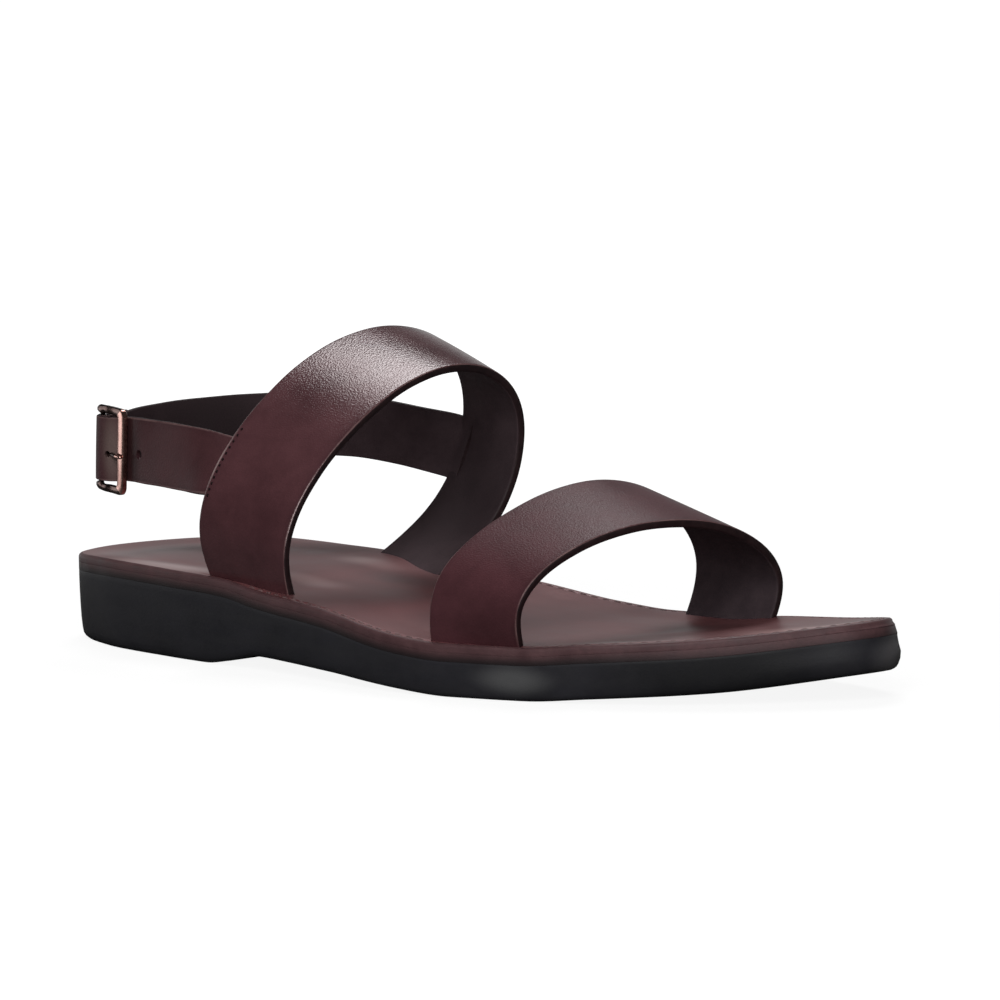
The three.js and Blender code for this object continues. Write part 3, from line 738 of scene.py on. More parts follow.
def trim_below_insole(piece, x):
    """Cuts the strap's two ends off at the underside of the insole near x."""
    slope = (insole_under(x + 5) - insole_under(x - 5)) / 10
    low = to_frame((x, 0, insole_under(x)))
    mesh = bmesh.new()
    mesh.from_mesh(piece.data)
    everything = mesh.verts[:] + mesh.edges[:] + mesh.faces[:]
    cut = bmesh.ops.bisect_plane(
        mesh, geom=everything, plane_co=low, plane_no=Vector((-slope, 0, 1)).normalized(), clear_inner=True)
    rims = [item for item in cut["geom_cut"] if isinstance(item, bmesh.types.BMEdge)]
    bmesh.ops.edgeloop_fill(mesh, edges=rims, mat_nr=CUT_EDGE)
    mesh.to_mesh(piece.data)
    mesh.free()


toe_path = cross_strap_path(TOE_STRAP)
instep_path = cross_strap_path(INSTEP_STRAP)
toe_strap = sweep_strap("toe_strap_leather", toe_path, STRAP_THICKNESS, cut_seed=2.0)
instep_strap = sweep_strap("instep_strap_leather", instep_path, STRAP_THICKNESS, cut_seed=5.0)
trim_below_insole(toe_strap, 204)
trim_below_insole(instep_strap, 102)
print("toe strap %.0f mm, instep strap %.0f mm long" % (toe_path.length, instep_path.length))

# %% Slots in the footbed
FOOT_LENGTH = 26
SLOT_ROOM = 0.35


def cut_away(piece, cutter):
    """Boolean difference that uses up the cutter."""
    modifier = piece.modifiers.new("cut", "BOOLEAN")
    modifier.operation = "DIFFERENCE"
    modifier.solver = "EXACT"
    modifier.object = cutter
    with bpy.context.temp_override(object=piece, active_object=piece, selected_objects=[piece]):
        bpy.ops.object.modifier_apply(modifier=modifier.name)
    bpy.data.objects.remove(cutter)


class WiderPath:
    """The same path with room added to its width."""

    def __init__(self, path, room):
        self.path, self.room, self.length = path, room, path.length

    def at(self, length):
        *place, width = self.path.at(length)
        return *place, width + 2 * self.room


for path in (toe_path, instep_path):
    wider = WiderPath(path, SLOT_ROOM)
    for start, end in ((0, FOOT_LENGTH), (path.length - FOOT_LENGTH, path.length)):
        cut_away(insole, sweep_strap(
            "slot", wider, STRAP_THICKNESS + 2 * SLOT_ROOM, crown=0, start=start, end=end))
print("footbed with its slots", len(insole.data.polygons), "faces")

# %% Distances kept on the leather for its finish
WIDER_TOE_RIM = 4.5                # the painted shade of the rim is this much wider round the toe
LESS_FALL = 0.3                    # the edge's darkening towards the bottom is weaker towards the toe


def on_last(piece):
    """x, y and z of a piece's points on the last."""
    return (np.array([corner.co for corner in piece.data.vertices]) / MM - last_place).T


def keep_fall(piece):
    """Stores how far down the leather edge each point is: 0 at the footbed, 1 at the rubber."""
    x, _, z = on_last(piece)
    fall = piece.data.attributes.new("fall", "FLOAT", "POINT")
    down = (insole_top(x) - z) / (insole_top(x) - rubber_top(x))
    fall.data.foreach_set("value", down * (1 - LESS_FALL * smooth_step(x, 225, 275)))


x, y, _ = on_last(insole)
inner_toe = smooth_step(x, 205, 235) * smooth_step(y, 18, 30)
round_toe = np.maximum(smooth_step(x, 250, 284), inner_toe)
keep_rim(insole, edge_distance(x, y) - WIDER_TOE_RIM * round_toe)
keep_fall(insole)
keep_fall(midsole)
print("footbed keeps", [item.name for item in insole.data.attributes if item.name in ("rim", "fall")])

# %% [markdown]
# ## Heel sling and buckle
#
# The outer strap is sewn inside the instep strap, passes under the buckle's front bar and over its rear
# bar, and its tail lies on round the heel. The inner strap is folded round the rear bar, where it is pared
# thin. The buckle has its own small frame: front along the strap, up, and out away from the foot.

# %% Buckle frame and its directions
BUCKLE_MIDDLE = np.array((39.4, -34.2, 57.5))
BUCKLE_TURN, BUCKLE_DIP = np.radians((14, 4))
BUCKLE_HEIGHT, BUCKLE_THICKNESS, BUCKLE_CORNER = 25.2, 1.7, 2.6
FRONT_BAR, REAR_BAR, SIDE_BAR = 3.6, 1.3, 2.2
FRONT_EDGE, REAR_EDGE = 5.5, -7.3  # ends of the frame along the strap
INNER_CORNER = 1.0
CORNER_BACK, CORNER_BOW = 3.2, 0.8  # the rear corners stand out beside the folded strap
SECTION_STEPS = 16
LIT_SLOT, SHADED_SLOT = 0, 1                # slots of the metal pieces: light copper as painted highlight, a dark copy as painted shade
front = np.array((
    np.cos(BUCKLE_TURN) * np.cos(BUCKLE_DIP),
    -np.sin(BUCKLE_TURN) * np.cos(BUCKLE_DIP),
    -np.sin(BUCKLE_DIP),
))
outward = unit(np.cross(front, (0, 0, 1)))
upright = np.cross(outward, front)
front_bar_at = FRONT_EDGE - FRONT_BAR / 2
rear_bar_at = REAR_EDGE + REAR_BAR / 2
bar_half = BUCKLE_THICKNESS / 2


def beside_buckle(ahead, out, high=0.0):
    """Point of the last from distances in the buckle's own frame."""
    ahead, out, high = (np.asarray(v, float)[..., None] for v in (ahead, out, high))
    return BUCKLE_MIDDLE + front * ahead + outward * out + upright * high


def rounded_rectangle(left, right, half_height, corner, side_steps=10, corner_steps=8):
    """Closed loop of (ahead, high), always with the same number of points."""
    centres = (
        (right - corner, half_height - corner, 0), (left + corner, half_height - corner, 90),
        (left + corner, corner - half_height, 180), (right - corner, corner - half_height, 270),
    )
    arcs = []
    for x, y, turn in centres:
        arc = np.radians(np.linspace(turn, turn + 90, corner_steps + 1))
        arcs.append(np.c_[x + corner * np.cos(arc), y + corner * np.sin(arc)])
    share = np.linspace(0, 1, side_steps + 1)[1:-1, None]
    runs = []
    for arc, following in zip(arcs, arcs[1:] + arcs[:1]):
        runs += [arc, arc[-1] + (following[0] - arc[-1]) * share]
    return np.vstack(runs)


def signed_power(values, power):
    return np.sign(values) * np.abs(values) ** power


def ring_piece(name, outer, inner, half_thickness):
    """Bar between two matching loops; its section is round at the rear bar and squarish elsewhere."""
    turns = np.linspace(0, 2 * np.pi, SECTION_STEPS, endpoint=False)
    middle = (outer + inner) / 2
    reach = (outer - inner) / 2
    from_rear = smooth_step(middle[:, :1], rear_bar_at + 0.5, rear_bar_at + 3)
    power = 2 / (2 + 4 * from_rear)
    thick = REAR_BAR / 2 + (half_thickness - REAR_BAR / 2) * from_rear
    flat = middle[:, None] + reach[:, None] * signed_power(np.cos(turns), power)[..., None]
    at_corner = smooth_step(-middle[:, :1], 0, -REAR_EDGE) * smooth_step(np.abs(middle[:, 1:]), 9.4, 10.6)
    out = thick * signed_power(np.sin(turns), power) + CORNER_BOW * at_corner
    points = beside_buckle(flat[..., 0], out, flat[..., 1])
    faces = [(a, d, c, b) for a, b, c, d in lathe_faces(len(outer), SECTION_STEPS, closed=True)]
    # painted highlight: the front bar gets the light copper, the other bars a dark copy as painted shade
    in_front = middle[:, 0] > front_bar_at - 1
    materials = np.where(in_front, LIT_SLOT, SHADED_SLOT).repeat(SECTION_STEPS).tolist()
    return new_piece(name, points.reshape(-1, 3), faces, materials)


outer_loop = rounded_rectangle(REAR_EDGE, FRONT_EDGE, BUCKLE_HEIGHT / 2, BUCKLE_CORNER)
inner_loop = rounded_rectangle(
    REAR_EDGE + REAR_BAR, FRONT_EDGE - FRONT_BAR, BUCKLE_HEIGHT / 2 - SIDE_BAR, INNER_CORNER)
at_corner = smooth_step(-outer_loop[:, 0], 0, -REAR_EDGE) * smooth_step(np.abs(outer_loop[:, 1]), 9.2, 10.6)
outer_loop[:, 0] -= CORNER_BACK * at_corner
buckle_frame = ring_piece("buckle_frame_metal", outer_loop, inner_loop, bar_half)
print("buckle frame", len(buckle_frame.data.polygons), "faces")

# %% Buckle prong
PRONG_RADIUS, EYE_WALL, EYE_HEIGHT = 0.65, 0.45, 2.4
HOLES_LOW = -1.2                   # prong and holes sit a little below the middle of the strap
SHANK_RINGS, SHANK_SIDES = 36, 16
EYE_RINGS, EYE_SIDES = 28, 12
PRONG_KNOTS = [0, 1, 2, 2.6]       # eye, bend, front bar and tip along the prong
LIT_TIP_FROM = 1.6                  # the knot where its tip, in the lighter painted-highlight copper, begins
eye_inner = REAR_BAR / 2 + 0.1
eye_outer = eye_inner + EYE_WALL
tip_out = bar_half + 0.05 + PRONG_RADIUS
prong_line = natural_spline(PRONG_KNOTS, [
    (rear_bar_at + eye_inner + EYE_WALL / 2, 0.2), (front_bar_at - 3.5, tip_out - 0.4),
    (front_bar_at, tip_out), (front_bar_at + 1.7, tip_out - 0.1),
])
shank = np.linspace(0, PRONG_KNOTS[-1], SHANK_RINGS)
turns = np.linspace(0, 2 * np.pi, SHANK_SIDES, endpoint=False)
ends = np.sqrt(np.clip(1 - smooth_step(shank, 2.35, 2.62) ** 2, 0.02, 1))
radius = PRONG_RADIUS * (1 - 0.2 * smooth_step(shank, 1.2, 2.4)) * ends
line = prong_line(shank)
lean = unit(np.gradient(line, axis=0))
side = np.cos(turns)[None] * radius[:, None]
rise = np.sin(turns)[None] * radius[:, None]
shank_points = beside_buckle(
    line[:, :1] - lean[:, 1:] * rise, line[:, 1:] + lean[:, :1] * rise, side + HOLES_LOW).reshape(-1, 3)

round_bar = np.linspace(0, 2 * np.pi, EYE_RINGS, endpoint=False)[:, None]
wall = np.linspace(0, 2 * np.pi, EYE_SIDES, endpoint=False)
eye_radius = (eye_inner + eye_outer) / 2 + EYE_WALL / 2 * signed_power(np.cos(wall), 0.6)
eye_high = EYE_HEIGHT / 2 * signed_power(np.sin(wall), 0.5) + HOLES_LOW
eye_points = beside_buckle(
    rear_bar_at + np.cos(round_bar) * eye_radius, np.sin(round_bar) * eye_radius,
    np.broadcast_to(eye_high, (EYE_RINGS, EYE_SIDES))).reshape(-1, 3)

last_ring = len(shank_points) - SHANK_SIDES
prong_faces = lathe_faces(SHANK_RINGS, SHANK_SIDES)
prong_faces.append(list(range(SHANK_SIDES))[::-1])
prong_faces.append(list(range(last_ring, len(shank_points))))
eye_faces = lathe_faces(EYE_RINGS, EYE_SIDES, closed=True, first=len(shank_points))
# painted highlight: the prong's tip over the front bar is light copper; shaft, eye and start cap are the
# dark, shaded copy
shank_slots = np.where(shank[:-1] > LIT_TIP_FROM, LIT_SLOT, SHADED_SLOT).repeat(SHANK_SIDES).tolist()
buckle_prong = new_piece(
    "buckle_prong_metal", np.vstack([shank_points, eye_points]), prong_faces + eye_faces,
    shank_slots + [SHADED_SLOT, LIT_SLOT] + [SHADED_SLOT] * len(eye_faces))
print("prong", len(buckle_prong.data.polygons), "faces")

# %% Rows of the sling straps
SLING_WIDTH, SLING_THICKNESS, PARED_THICKNESS = 19, 1.3, 0.5
SEWN_DEPTH, LAYER_GAP, HEEL_TURN = 0.4, 0.08, np.radians(45)
LEGS = {"lateral": (0.03, 0.4), "medial": (0.97, 0.6)}     # shares of the instep strap's length, going up
LAPS = {
    # distance in from the instep strap's rear edge, height
    "lateral": [(12, 57.0), (0, 57.4)], "medial": [(0, 54.2), (6.5, 52.9)],
}
LATERAL_RUN = [(77, -39.2, 57.7, 15), (58, -36.4, 58.2, 6)]
HEEL_RUN = [
    (22.8, -17.5, 57.0, 2), (18.2, -6.5, 57.1, 2), (17.6, 5, 57.7, 2), (23, 16.5, 58.7, 2),
    (38, 28.5, 59.9, 3), (60, 40, 60.1, 6), (79, 48.5, 57.0, 8),
]
UP = np.array((0, 0, 1.0))
sling_half, pared_half = SLING_THICKNESS / 2, PARED_THICKNESS / 2
fold_radius = eye_inner + pared_half
run_out = fold_radius + pared_half - sling_half + 0.06
tail_out = fold_radius + pared_half + LAYER_GAP + sling_half


def leaning_rows(table):
    """Rows of (middle, across) whose upper edge leans towards the foot."""
    table = np.array(table, float)
    inward = unit(np.cross(np.gradient(table[:, :3], axis=0), UP))
    lean = np.radians(table[:, 3:])
    return list(zip(table[:, :3], UP * np.cos(lean) + inward * np.sin(lean)))


def on_leg(leg, inset, z):
    """Place on one leg of the instep strap, by its height and its distance from the rear edge."""
    low, high = (share * instep_path.length for share in LEGS[leg])
    for _ in range(40):
        length = (low + high) / 2
        middle, along, across, out, width = instep_path.spot(length)
        place = middle + across * (inset - width / 2)
        low, high = (length, high) if place[2] < z else (low, length)
    return place, along, out


def lap_rows(leg):
    """Rows of a sling strap on the inside of the instep strap."""
    rows = []
    for inset, z in LAPS[leg]:
        place, along, out = on_leg(leg, inset, z)
        inside = STRAP_THICKNESS / 2 + sling_half - SEWN_DEPTH
        rows.append((place - out * inside, along * np.sign(along[2])))
    return rows


def rows_beside(path, lengths, distance):
    """Rows that lie a distance out from another strap's middle."""
    spots = [path.spot(length) for length in lengths]
    return [(middle + out * distance, across) for middle, _, across, out, _ in spots]


def fold_row(back, out, turn=HEEL_TURN):
    """Row beside the rear bar: back along the heel strap that leaves it, and out from that strap."""
    ahead = rear_bar_at - back * np.cos(turn) - out * np.sin(turn)
    return beside_buckle(ahead, out * np.cos(turn) - back * np.sin(turn)), upright


def path_through(rows):
    middles, acrosses = zip(*rows)
    return StrapPath(np.array(middles), np.array(acrosses), np.full(len(rows), float(SLING_WIDTH)))


print("fold round the bar has a radius of %.2f mm" % fold_radius)

# %% Sling straps
BEHIND_BAR = 2.6                   # where the folded strap has its full thickness again
TURNED_END = (11.5, 6.3)           # its sewn-down end, along the heel strap
TAIL_LENGTH, TAIL_ROWS = 32, 4
heel_rows = [
    fold_row(BEHIND_BAR, run_out), fold_row(7, run_out - 0.5), *leaning_rows(HEEL_RUN), *lap_rows("medial")]
heel_path = path_through(heel_rows)
turned_rows = rows_beside(heel_path, TURNED_END, SEWN_DEPTH - pared_half - sling_half)
fold_rows = [
    fold_row(1, -fold_radius), fold_row(-0.8 * fold_radius, -0.6 * fold_radius),
    fold_row(-0.8 * fold_radius, 0.6 * fold_radius), fold_row(0.4, fold_radius),
]
medial_path = path_through([*turned_rows, *fold_rows, *heel_rows])
fold_end = medial_path.length_at_row(len(turned_rows) + len(fold_rows))


def medial_thickness(length):
    full = smooth_step(length, fold_end - 2, fold_end + 2)
    return PARED_THICKNESS + (SLING_THICKNESS - PARED_THICKNESS) * full


under_bar = -(bar_half + GLUE_GAP + sling_half)
through_rows = [
    (beside_buckle(front_bar_at + 5, under_bar + 0.2, 1.5), upright),
    (beside_buckle(front_bar_at + 0.5, under_bar - 0.3, 1.0), upright),
    (beside_buckle(front_bar_at - 2.2, under_bar, 0.7), upright),
    (beside_buckle(rear_bar_at + 5.2, 0.4 * tail_out, 0.3), upright),
    fold_row(0, tail_out, HEEL_TURN / 3), fold_row(BEHIND_BAR, tail_out),
]
tail_lengths = [i * TAIL_LENGTH / TAIL_ROWS for i in range(1, TAIL_ROWS)]
tail_rows = rows_beside(heel_path, tail_lengths, SLING_THICKNESS + LAYER_GAP)
lateral_path = path_through([*lap_rows("lateral"), *leaning_rows(LATERAL_RUN), *through_rows, *tail_rows])
medial_sling, lateral_sling = (
    sweep_strap(name, path, thickness, corner=0.4, crown=0.05, step=0.8, cut_seed=seed)
    for name, path, thickness, seed in (
        ("medial_sling_leather", medial_path, medial_thickness, 7.0),
        ("lateral_sling_leather", lateral_path, SLING_THICKNESS, 9.0))
)
print("inner sling %.0f mm, outer sling %.0f mm long" % (medial_path.length, lateral_path.length))

# %% Punched holes and the slot for the prong
HOLE_DIAMETER, HOLE_SPACING, FREE_HOLES = 2.8, 12.8, (-1, 1, 2)
PRONG_THROUGH = 0.45               # the knot of the prong where it goes through the outer strap


def drum(middle, axis, radius, height, sides=28):
    """Round cutter that stands along axis."""
    axis = Vector(axis).normalized()
    turn = axis.to_track_quat("Z", "Y").to_matrix()
    rim = [turn @ Vector((math.cos(a) * radius, math.sin(a) * radius, 0))
           for a in np.linspace(0, 2 * np.pi, sides, endpoint=False)]
    points = [Vector(middle) + axis * height * end + p for end in (-0.5, 0.5) for p in rim]
    faces = lathe_faces(2, sides) + [tuple(range(sides))[::-1], tuple(range(sides, 2 * sides))]
    return new_piece("punch", points, faces)


fine = np.linspace(0, lateral_path.length, 1500)
to_buckle = np.linalg.norm(lateral_path.at(fine)[0] - BUCKLE_MIDDLE, axis=1)
prong_hole_at = fine[to_buckle.argmin()]
for hole in FREE_HOLES:
    middle, _, across, out, _ = lateral_path.spot(prong_hole_at + hole * HOLE_SPACING)
    place = middle + across * HOLES_LOW * np.sign(across[2])
    cut_away(lateral_sling, drum(place, out, HOLE_DIAMETER / 2, 4 * SLING_THICKNESS))
prong_middle = beside_buckle(*prong_line(np.array([PRONG_THROUGH]))[0], HOLES_LOW)
cut_away(lateral_sling, drum(prong_middle, front * 0.6 + outward * 0.8, 0.95, 7))
slot_length = 2 * fold_radius + 6
slot_middle = rear_bar_at + fold_radius + 2 - slot_length / 2
slot_half = np.array((slot_length / 2, eye_outer + GLUE_GAP, EYE_HEIGHT / 2 + GLUE_GAP))
slot_points = [
    beside_buckle(slot_middle + a * slot_half[0], o * slot_half[1], h * slot_half[2])
    for a in (-1, 1) for o in (-1, 1) for h in (-1, 1)
]
slot_faces = [(0, 1, 3, 2), (4, 6, 7, 5), (0, 4, 5, 1), (2, 3, 7, 6), (0, 2, 6, 4), (1, 5, 7, 3)]
cut_away(medial_sling, new_piece("prong_slot", slot_points, slot_faces))
print("outer sling", len(lateral_sling.data.polygons), "faces")

# %% [markdown]
# ## Stitches
#
# A lockstitch shows as a row of short threads, each one dipping into its two needle holes.
# One small capsule is made per stitch and all stitches of a seam become one mesh.

# %% Stitch rows
STITCH_SIDES, STITCH_RINGS = 8, 7


def stitch_row(name, places, along, out, length, radius):
    """One bent capsule per place, half sunk in the leather."""
    share = np.linspace(-1, 1, STITCH_RINGS)
    girth = np.sqrt(np.clip(1 - np.abs(share) ** 2.6, 0.03, 1)) * radius
    arch = radius * (0.25 - 0.9 * share**4)
    turns = np.linspace(0, 2 * np.pi, STITCH_SIDES, endpoint=False)
    points = []
    faces = []
    for place, way, normal in zip(places, along, out):
        across = np.cross(normal, way)
        first = len(points) * STITCH_SIDES
        for s, g, a in zip(share, girth, arch):
            middle = place + way * s * length / 2 + normal * a
            loop = np.outer(np.cos(turns) * g, across) + np.outer(np.sin(turns) * g, normal)
            points.append(middle + loop)
        end = first + (STITCH_RINGS - 1) * STITCH_SIDES
        faces += lathe_faces(STITCH_RINGS, STITCH_SIDES, first=first)
        faces.append(tuple(range(first, first + STITCH_SIDES))[::-1])
        faces.append(tuple(range(end, end + STITCH_SIDES)))
    return new_piece(name, np.vstack(points), faces)


print("a stitch has", STITCH_RINGS * STITCH_SIDES, "points")

# %% Seam round the footbed
FOOTBED_STITCH, FOOTBED_THREAD = 4.0, 0.38
seam = ring_points(SEAM_INSET, TOE_SLANT, insole_top)
seam = np.vstack([seam, seam[:1]])
seam_length = run_lengths(seam)
seam_end = seam_length[-1]
stitch_count = int(seam_end / FOOTBED_STITCH)
stitch_at = (np.arange(stitch_count) + 0.5) * seam_end / stitch_count


def on_seam(length):
    point = np.stack([np.interp(length, seam_length, seam[:, axis]) for axis in range(3)], 1)
    point[:, 2] = footbed(point[:, 0], point[:, 1])
    return point


def clear_of_straps(places):
    """False where a cross strap goes down through the footbed."""
    clear = np.ones(len(places), bool)
    for path in (toe_path, instep_path):
        for start in (0, path.length - FOOT_LENGTH):
            middle, _, across, out, width = path.at(np.linspace(start, start + FOOT_LENGTH, 60))
            foot = np.abs(middle[:, 2] - insole_top(middle[:, 0])).argmin()
            offset = places - middle[foot]
            beside = np.abs(offset @ across[foot]) > width[foot] / 2 + 1.6
            clear &= beside | (np.abs(offset @ out[foot]) > STRAP_THICKNESS / 2 + 0.9)
    return clear


seam_along = unit(on_seam(np.minimum(stitch_at + 0.5, seam_end)) - on_seam(np.maximum(stitch_at - 0.5, 0)))
seam_out = unit(UP - (seam_along @ UP)[:, None] * seam_along)
seam_place = on_seam(stitch_at)
clear = clear_of_straps(seam_place) & (seam_place[:, 0] > SEAM_START)
footbed_stitches = stitch_row(
    "footbed_stitches", seam_place[clear], seam_along[clear], seam_out[clear],
    FOOTBED_STITCH * 0.74, FOOTBED_THREAD)
print("stitches:", clear.sum(), "round the footbed")

# %% Seams of the straps
STRAP_STITCH, STRAP_SEAM_INSET, STRAP_THREAD = 1.6, 1.7, 0.3
STRAP_SEAMS = {"lateral": (48.4, 66.4), "medial": (45.4, 63.0)}    # heights of the seam on each leg
strap_stitches = []
seam_middles = {}
for leg, heights in STRAP_SEAMS.items():
    rows = [on_leg(leg, STRAP_SEAM_INSET, z) for z in np.arange(*heights, STRAP_STITCH)]
    places, alongs, outs = (np.array(part) for part in zip(*rows))
    places = places + outs * STRAP_THICKNESS / 2
    strap_stitches.append(stitch_row(
        leg + "_strap_stitches", places, alongs, outs, STRAP_STITCH * 0.66, STRAP_THREAD))
    seam_middles[leg] = places.mean(0)
print("stitched legs:", list(seam_middles))

# %% [markdown]
# ## Finishes
#
# Leather, rubber and plated metal all vary over their surface. Effects that several finishes share are
# node groups: a fine grain, a slow drift between two colours, streaks along the foot, the wear near a cut
# edge, which on the footbed's rim is painted shade and on strap corners partly a painted highlight, and
# one place with a soft border, used for wear, polish, painted sheen and painted shade. Each group puts out
# masks, colours or heights.
# The Principled shader stays in each material.

# %% Node groups
def mix_colour(tree, mask, first, second):
    """Colour that goes from first to second with the mask; each may be a socket or a plain colour."""
    node = tree.nodes.new("ShaderNodeMix")
    node.data_type = "RGBA"
    for i, value in ((0, mask), (6, first), (7, second)):
        feed(tree, node.inputs[i], value)
    return node.outputs[2]


def new_group(name, **inputs):
    """Empty node group whose inputs are numbers, vectors of three or colours of four values."""
    group = bpy.data.node_groups.new(name, "ShaderNodeTree")
    for socket, value in inputs.items():
        kind = {3: "NodeSocketVector", 4: "NodeSocketColor"}.get(np.size(value), "NodeSocketFloat")
        made = group.interface.new_socket(socket.replace("_", " "), in_out="INPUT", socket_type=kind)
        made.default_value = value
    return group, group.nodes.new("NodeGroupInput").outputs


def put_out(group, **results):
    """Gives a group its outputs."""
    for name, value in results.items():
        kind = "NodeSocketColor" if value.type == "RGBA" else "NodeSocketFloat"
        group.interface.new_socket(name, in_out="OUTPUT", socket_type=kind)
    end = group.nodes.new("NodeGroupOutput")
    for name, value in results.items():
        feed(group, end.inputs[name], value)


leather_grain, given = new_group("leather_grain", Scale=1800.0, Wrinkle=0.5)
place = add(leather_grain, "TexCoord", out="Object")
pebble = add(
    leather_grain, "TexVoronoi", feature="SMOOTH_F1", Vector=place, Scale=given["Scale"], Smoothness=0.6)
crease = add(
    leather_grain, "TexNoise", Vector=place, Scale=420.0, Detail=4.0, Roughness=0.55, Distortion=0.6)
grain_height = add(leather_grain, "Math", crease, given["Wrinkle"], pebble, operation="MULTIPLY_ADD")
put_out(leather_grain, Height=grain_height)

colour_drift, given = new_group("colour_drift", Colour_A=(0, 0, 0, 1), Colour_B=(1, 1, 1, 1), Scale=30.0)
place = add(colour_drift, "TexCoord", out="Object")
cloud = add(colour_drift, "TexNoise", Vector=place, Scale=given["Scale"], Detail=6.0, Roughness=0.65)
mask = eased(colour_drift, cloud, 0.22, 0.78)
put_out(
    colour_drift, Colour=mix_colour(colour_drift, mask, given["Colour A"], given["Colour B"]), Mask=mask)

streaks, given = new_group("streaks", Scale=400.0, Stretch=0.06)
place = add(streaks, "TexCoord", out="Object")
squeeze = add(streaks, "CombineXYZ", given["Stretch"], 1.0, 1.0)
stretched = add(streaks, "VectorMath", place, squeeze, operation="MULTIPLY")
fibre = add(streaks, "TexNoise", Vector=stretched, Scale=given["Scale"], Detail=5.0, Roughness=0.6)
put_out(streaks, Mask=eased(streaks, fibre, 0.3, 0.78))

# darker near a cut edge: wear on the straps, painted shade on the footbed's rim; Corner is the outermost
# band, painted lighter on the straps: partly wear, partly painted highlight
rim_wear_and_light, given = new_group("rim_wear_and_light", Scale=160.0, Amount=0.6)
rim = add(rim_wear_and_light, "Attribute", attribute_name="rim", out="Fac")
place = add(rim_wear_and_light, "TexCoord", out="Object")
rub = add(rim_wear_and_light, "TexNoise", Vector=place, Scale=given["Scale"], Detail=5.0, Roughness=0.7)
patchy = times(rim_wear_and_light, eased(rim_wear_and_light, rub, 0.25, 0.7), given["Amount"])
corner = times(rim_wear_and_light, patchy, eased(rim_wear_and_light, rim, 0.87, 0.99))
put_out(rim_wear_and_light, Mask=times(rim_wear_and_light, patchy, rim), Corner=corner)

wear_and_light_place, given = new_group("wear_and_light_place", Middle=(0, 0, 0), Half_Lengths=(1, 1, 1))
place = add(wear_and_light_place, "TexCoord", out="Object")
offset = add(wear_and_light_place, "VectorMath", place, given["Middle"], operation="SUBTRACT")
in_halves = add(wear_and_light_place, "VectorMath", offset, given["Half Lengths"], operation="DIVIDE")
how_far = add(wear_and_light_place, "VectorMath", in_halves, operation="LENGTH", out="Value")
put_out(wear_and_light_place, Mask=eased(wear_and_light_place, how_far, 1.0, 0.15))
print("groups:", [group.name for group in bpy.data.node_groups])

# %% Materials
def new_finish(name, dark, light, drift_scale, roughness, grain_scale, grain_depth, wrinkle=0.5, gloss=0.5,
               tint=(1, 1, 1), metallic=0.0):
    """Finish with drifting colour, uneven roughness and grain."""
    material = bpy.data.materials.new(name)
    material.use_nodes = True
    tree = material.node_tree
    drift = add(
        tree, "Group", node_tree=colour_drift, Colour_A=dark, Colour_B=light, Scale=drift_scale, out=None)
    grain = add(tree, "Group", node_tree=leather_grain, Scale=grain_scale, Wrinkle=wrinkle)
    shader = tree.nodes["Principled BSDF"].inputs
    feed(tree, shader["Base Color"], drift["Colour"])
    feed(tree, shader["Roughness"], ranged(tree, drift["Mask"], *roughness))
    feed(tree, shader["Normal"], add(tree, "Bump", Strength=1.0, Distance=grain_depth * MM, Height=grain))
    feed(tree, shader["Specular IOR Level"], gloss)
    feed(tree, shader["Specular Tint"], tint)
    feed(tree, shader["Metallic"], metallic)
    return material


def paint_over(material, mask, value, name="Base Color"):
    """Lays another colour, or another roughness, over a finish where the mask is 1."""
    tree = material.node_tree
    socket = tree.nodes["Principled BSDF"].inputs[name]
    under = socket.links[0].from_socket
    if name == "Base Color":
        feed(tree, socket, mix_colour(tree, mask, under, value))
    else:
        feed(tree, socket, add(tree, "Mix", data_type="FLOAT", Factor=mask, A=under, B=value))


def wear_and_light_mask(material, middle, half_lengths, strength):
    """Mask of one place on the last, strongest in its middle; it marks wear, polish, painted sheen and
    painted shade.
    """
    tree = material.node_tree
    half_lengths = np.array(half_lengths) * MM
    spot = add(tree, "Group", node_tree=wear_and_light_place, Middle=to_frame(middle), Half_Lengths=half_lengths)
    return ranged(tree, spot, 0, strength)


def paint_wear_and_light(material, places):
    """Paints worn places and places of painted sheen and shade, each with its middle on the last, half
    lengths, strength and colour.
    """
    for middle, half_lengths, strength, colour in places:
        paint_over(material, wear_and_light_mask(material, middle, half_lengths, strength), colour)


def paint_streaks(material, scale, stretch, strength, colour):
    tree = material.node_tree
    streak = add(tree, "Group", node_tree=streaks, Scale=scale, Stretch=stretch)
    paint_over(material, ranged(tree, streak, 0, strength), colour)


print("finish helpers ready")

# %% Strap finishes
def strap_finish(name, dark, light, roughness, gloss):
    """Waxed grain side of a strap, darker near its cut edges, with lighter corners: partly rubbed, partly a
    painted highlight of the rounded corner.
    """
    material = new_finish(name, dark, light, 55.0, roughness, 1900, 0.055, 0.3, gloss, (1.0, 0.87, 0.88))
    tree = material.node_tree
    worn = add(tree, "Group", node_tree=rim_wear_and_light, Scale=120.0, Amount=0.9, out=None)
    paint_over(material, ranged(tree, worn["Mask"], 0, 0.45), (0.022, 0.009, 0.011))
    # lighter corners: partly rubbed wear, partly a painted highlight where the rounded corner catches the
    # light
    paint_over(material, worn["Corner"], (0.17, 0.10, 0.098))
    return material


def flesh_finish(name, dark, light):
    """Unpolished inside of a strap."""
    return new_finish(name, dark, light, 140.0, (0.75, 0.92), 3200, 0.05, 1.5, gloss=0.15)


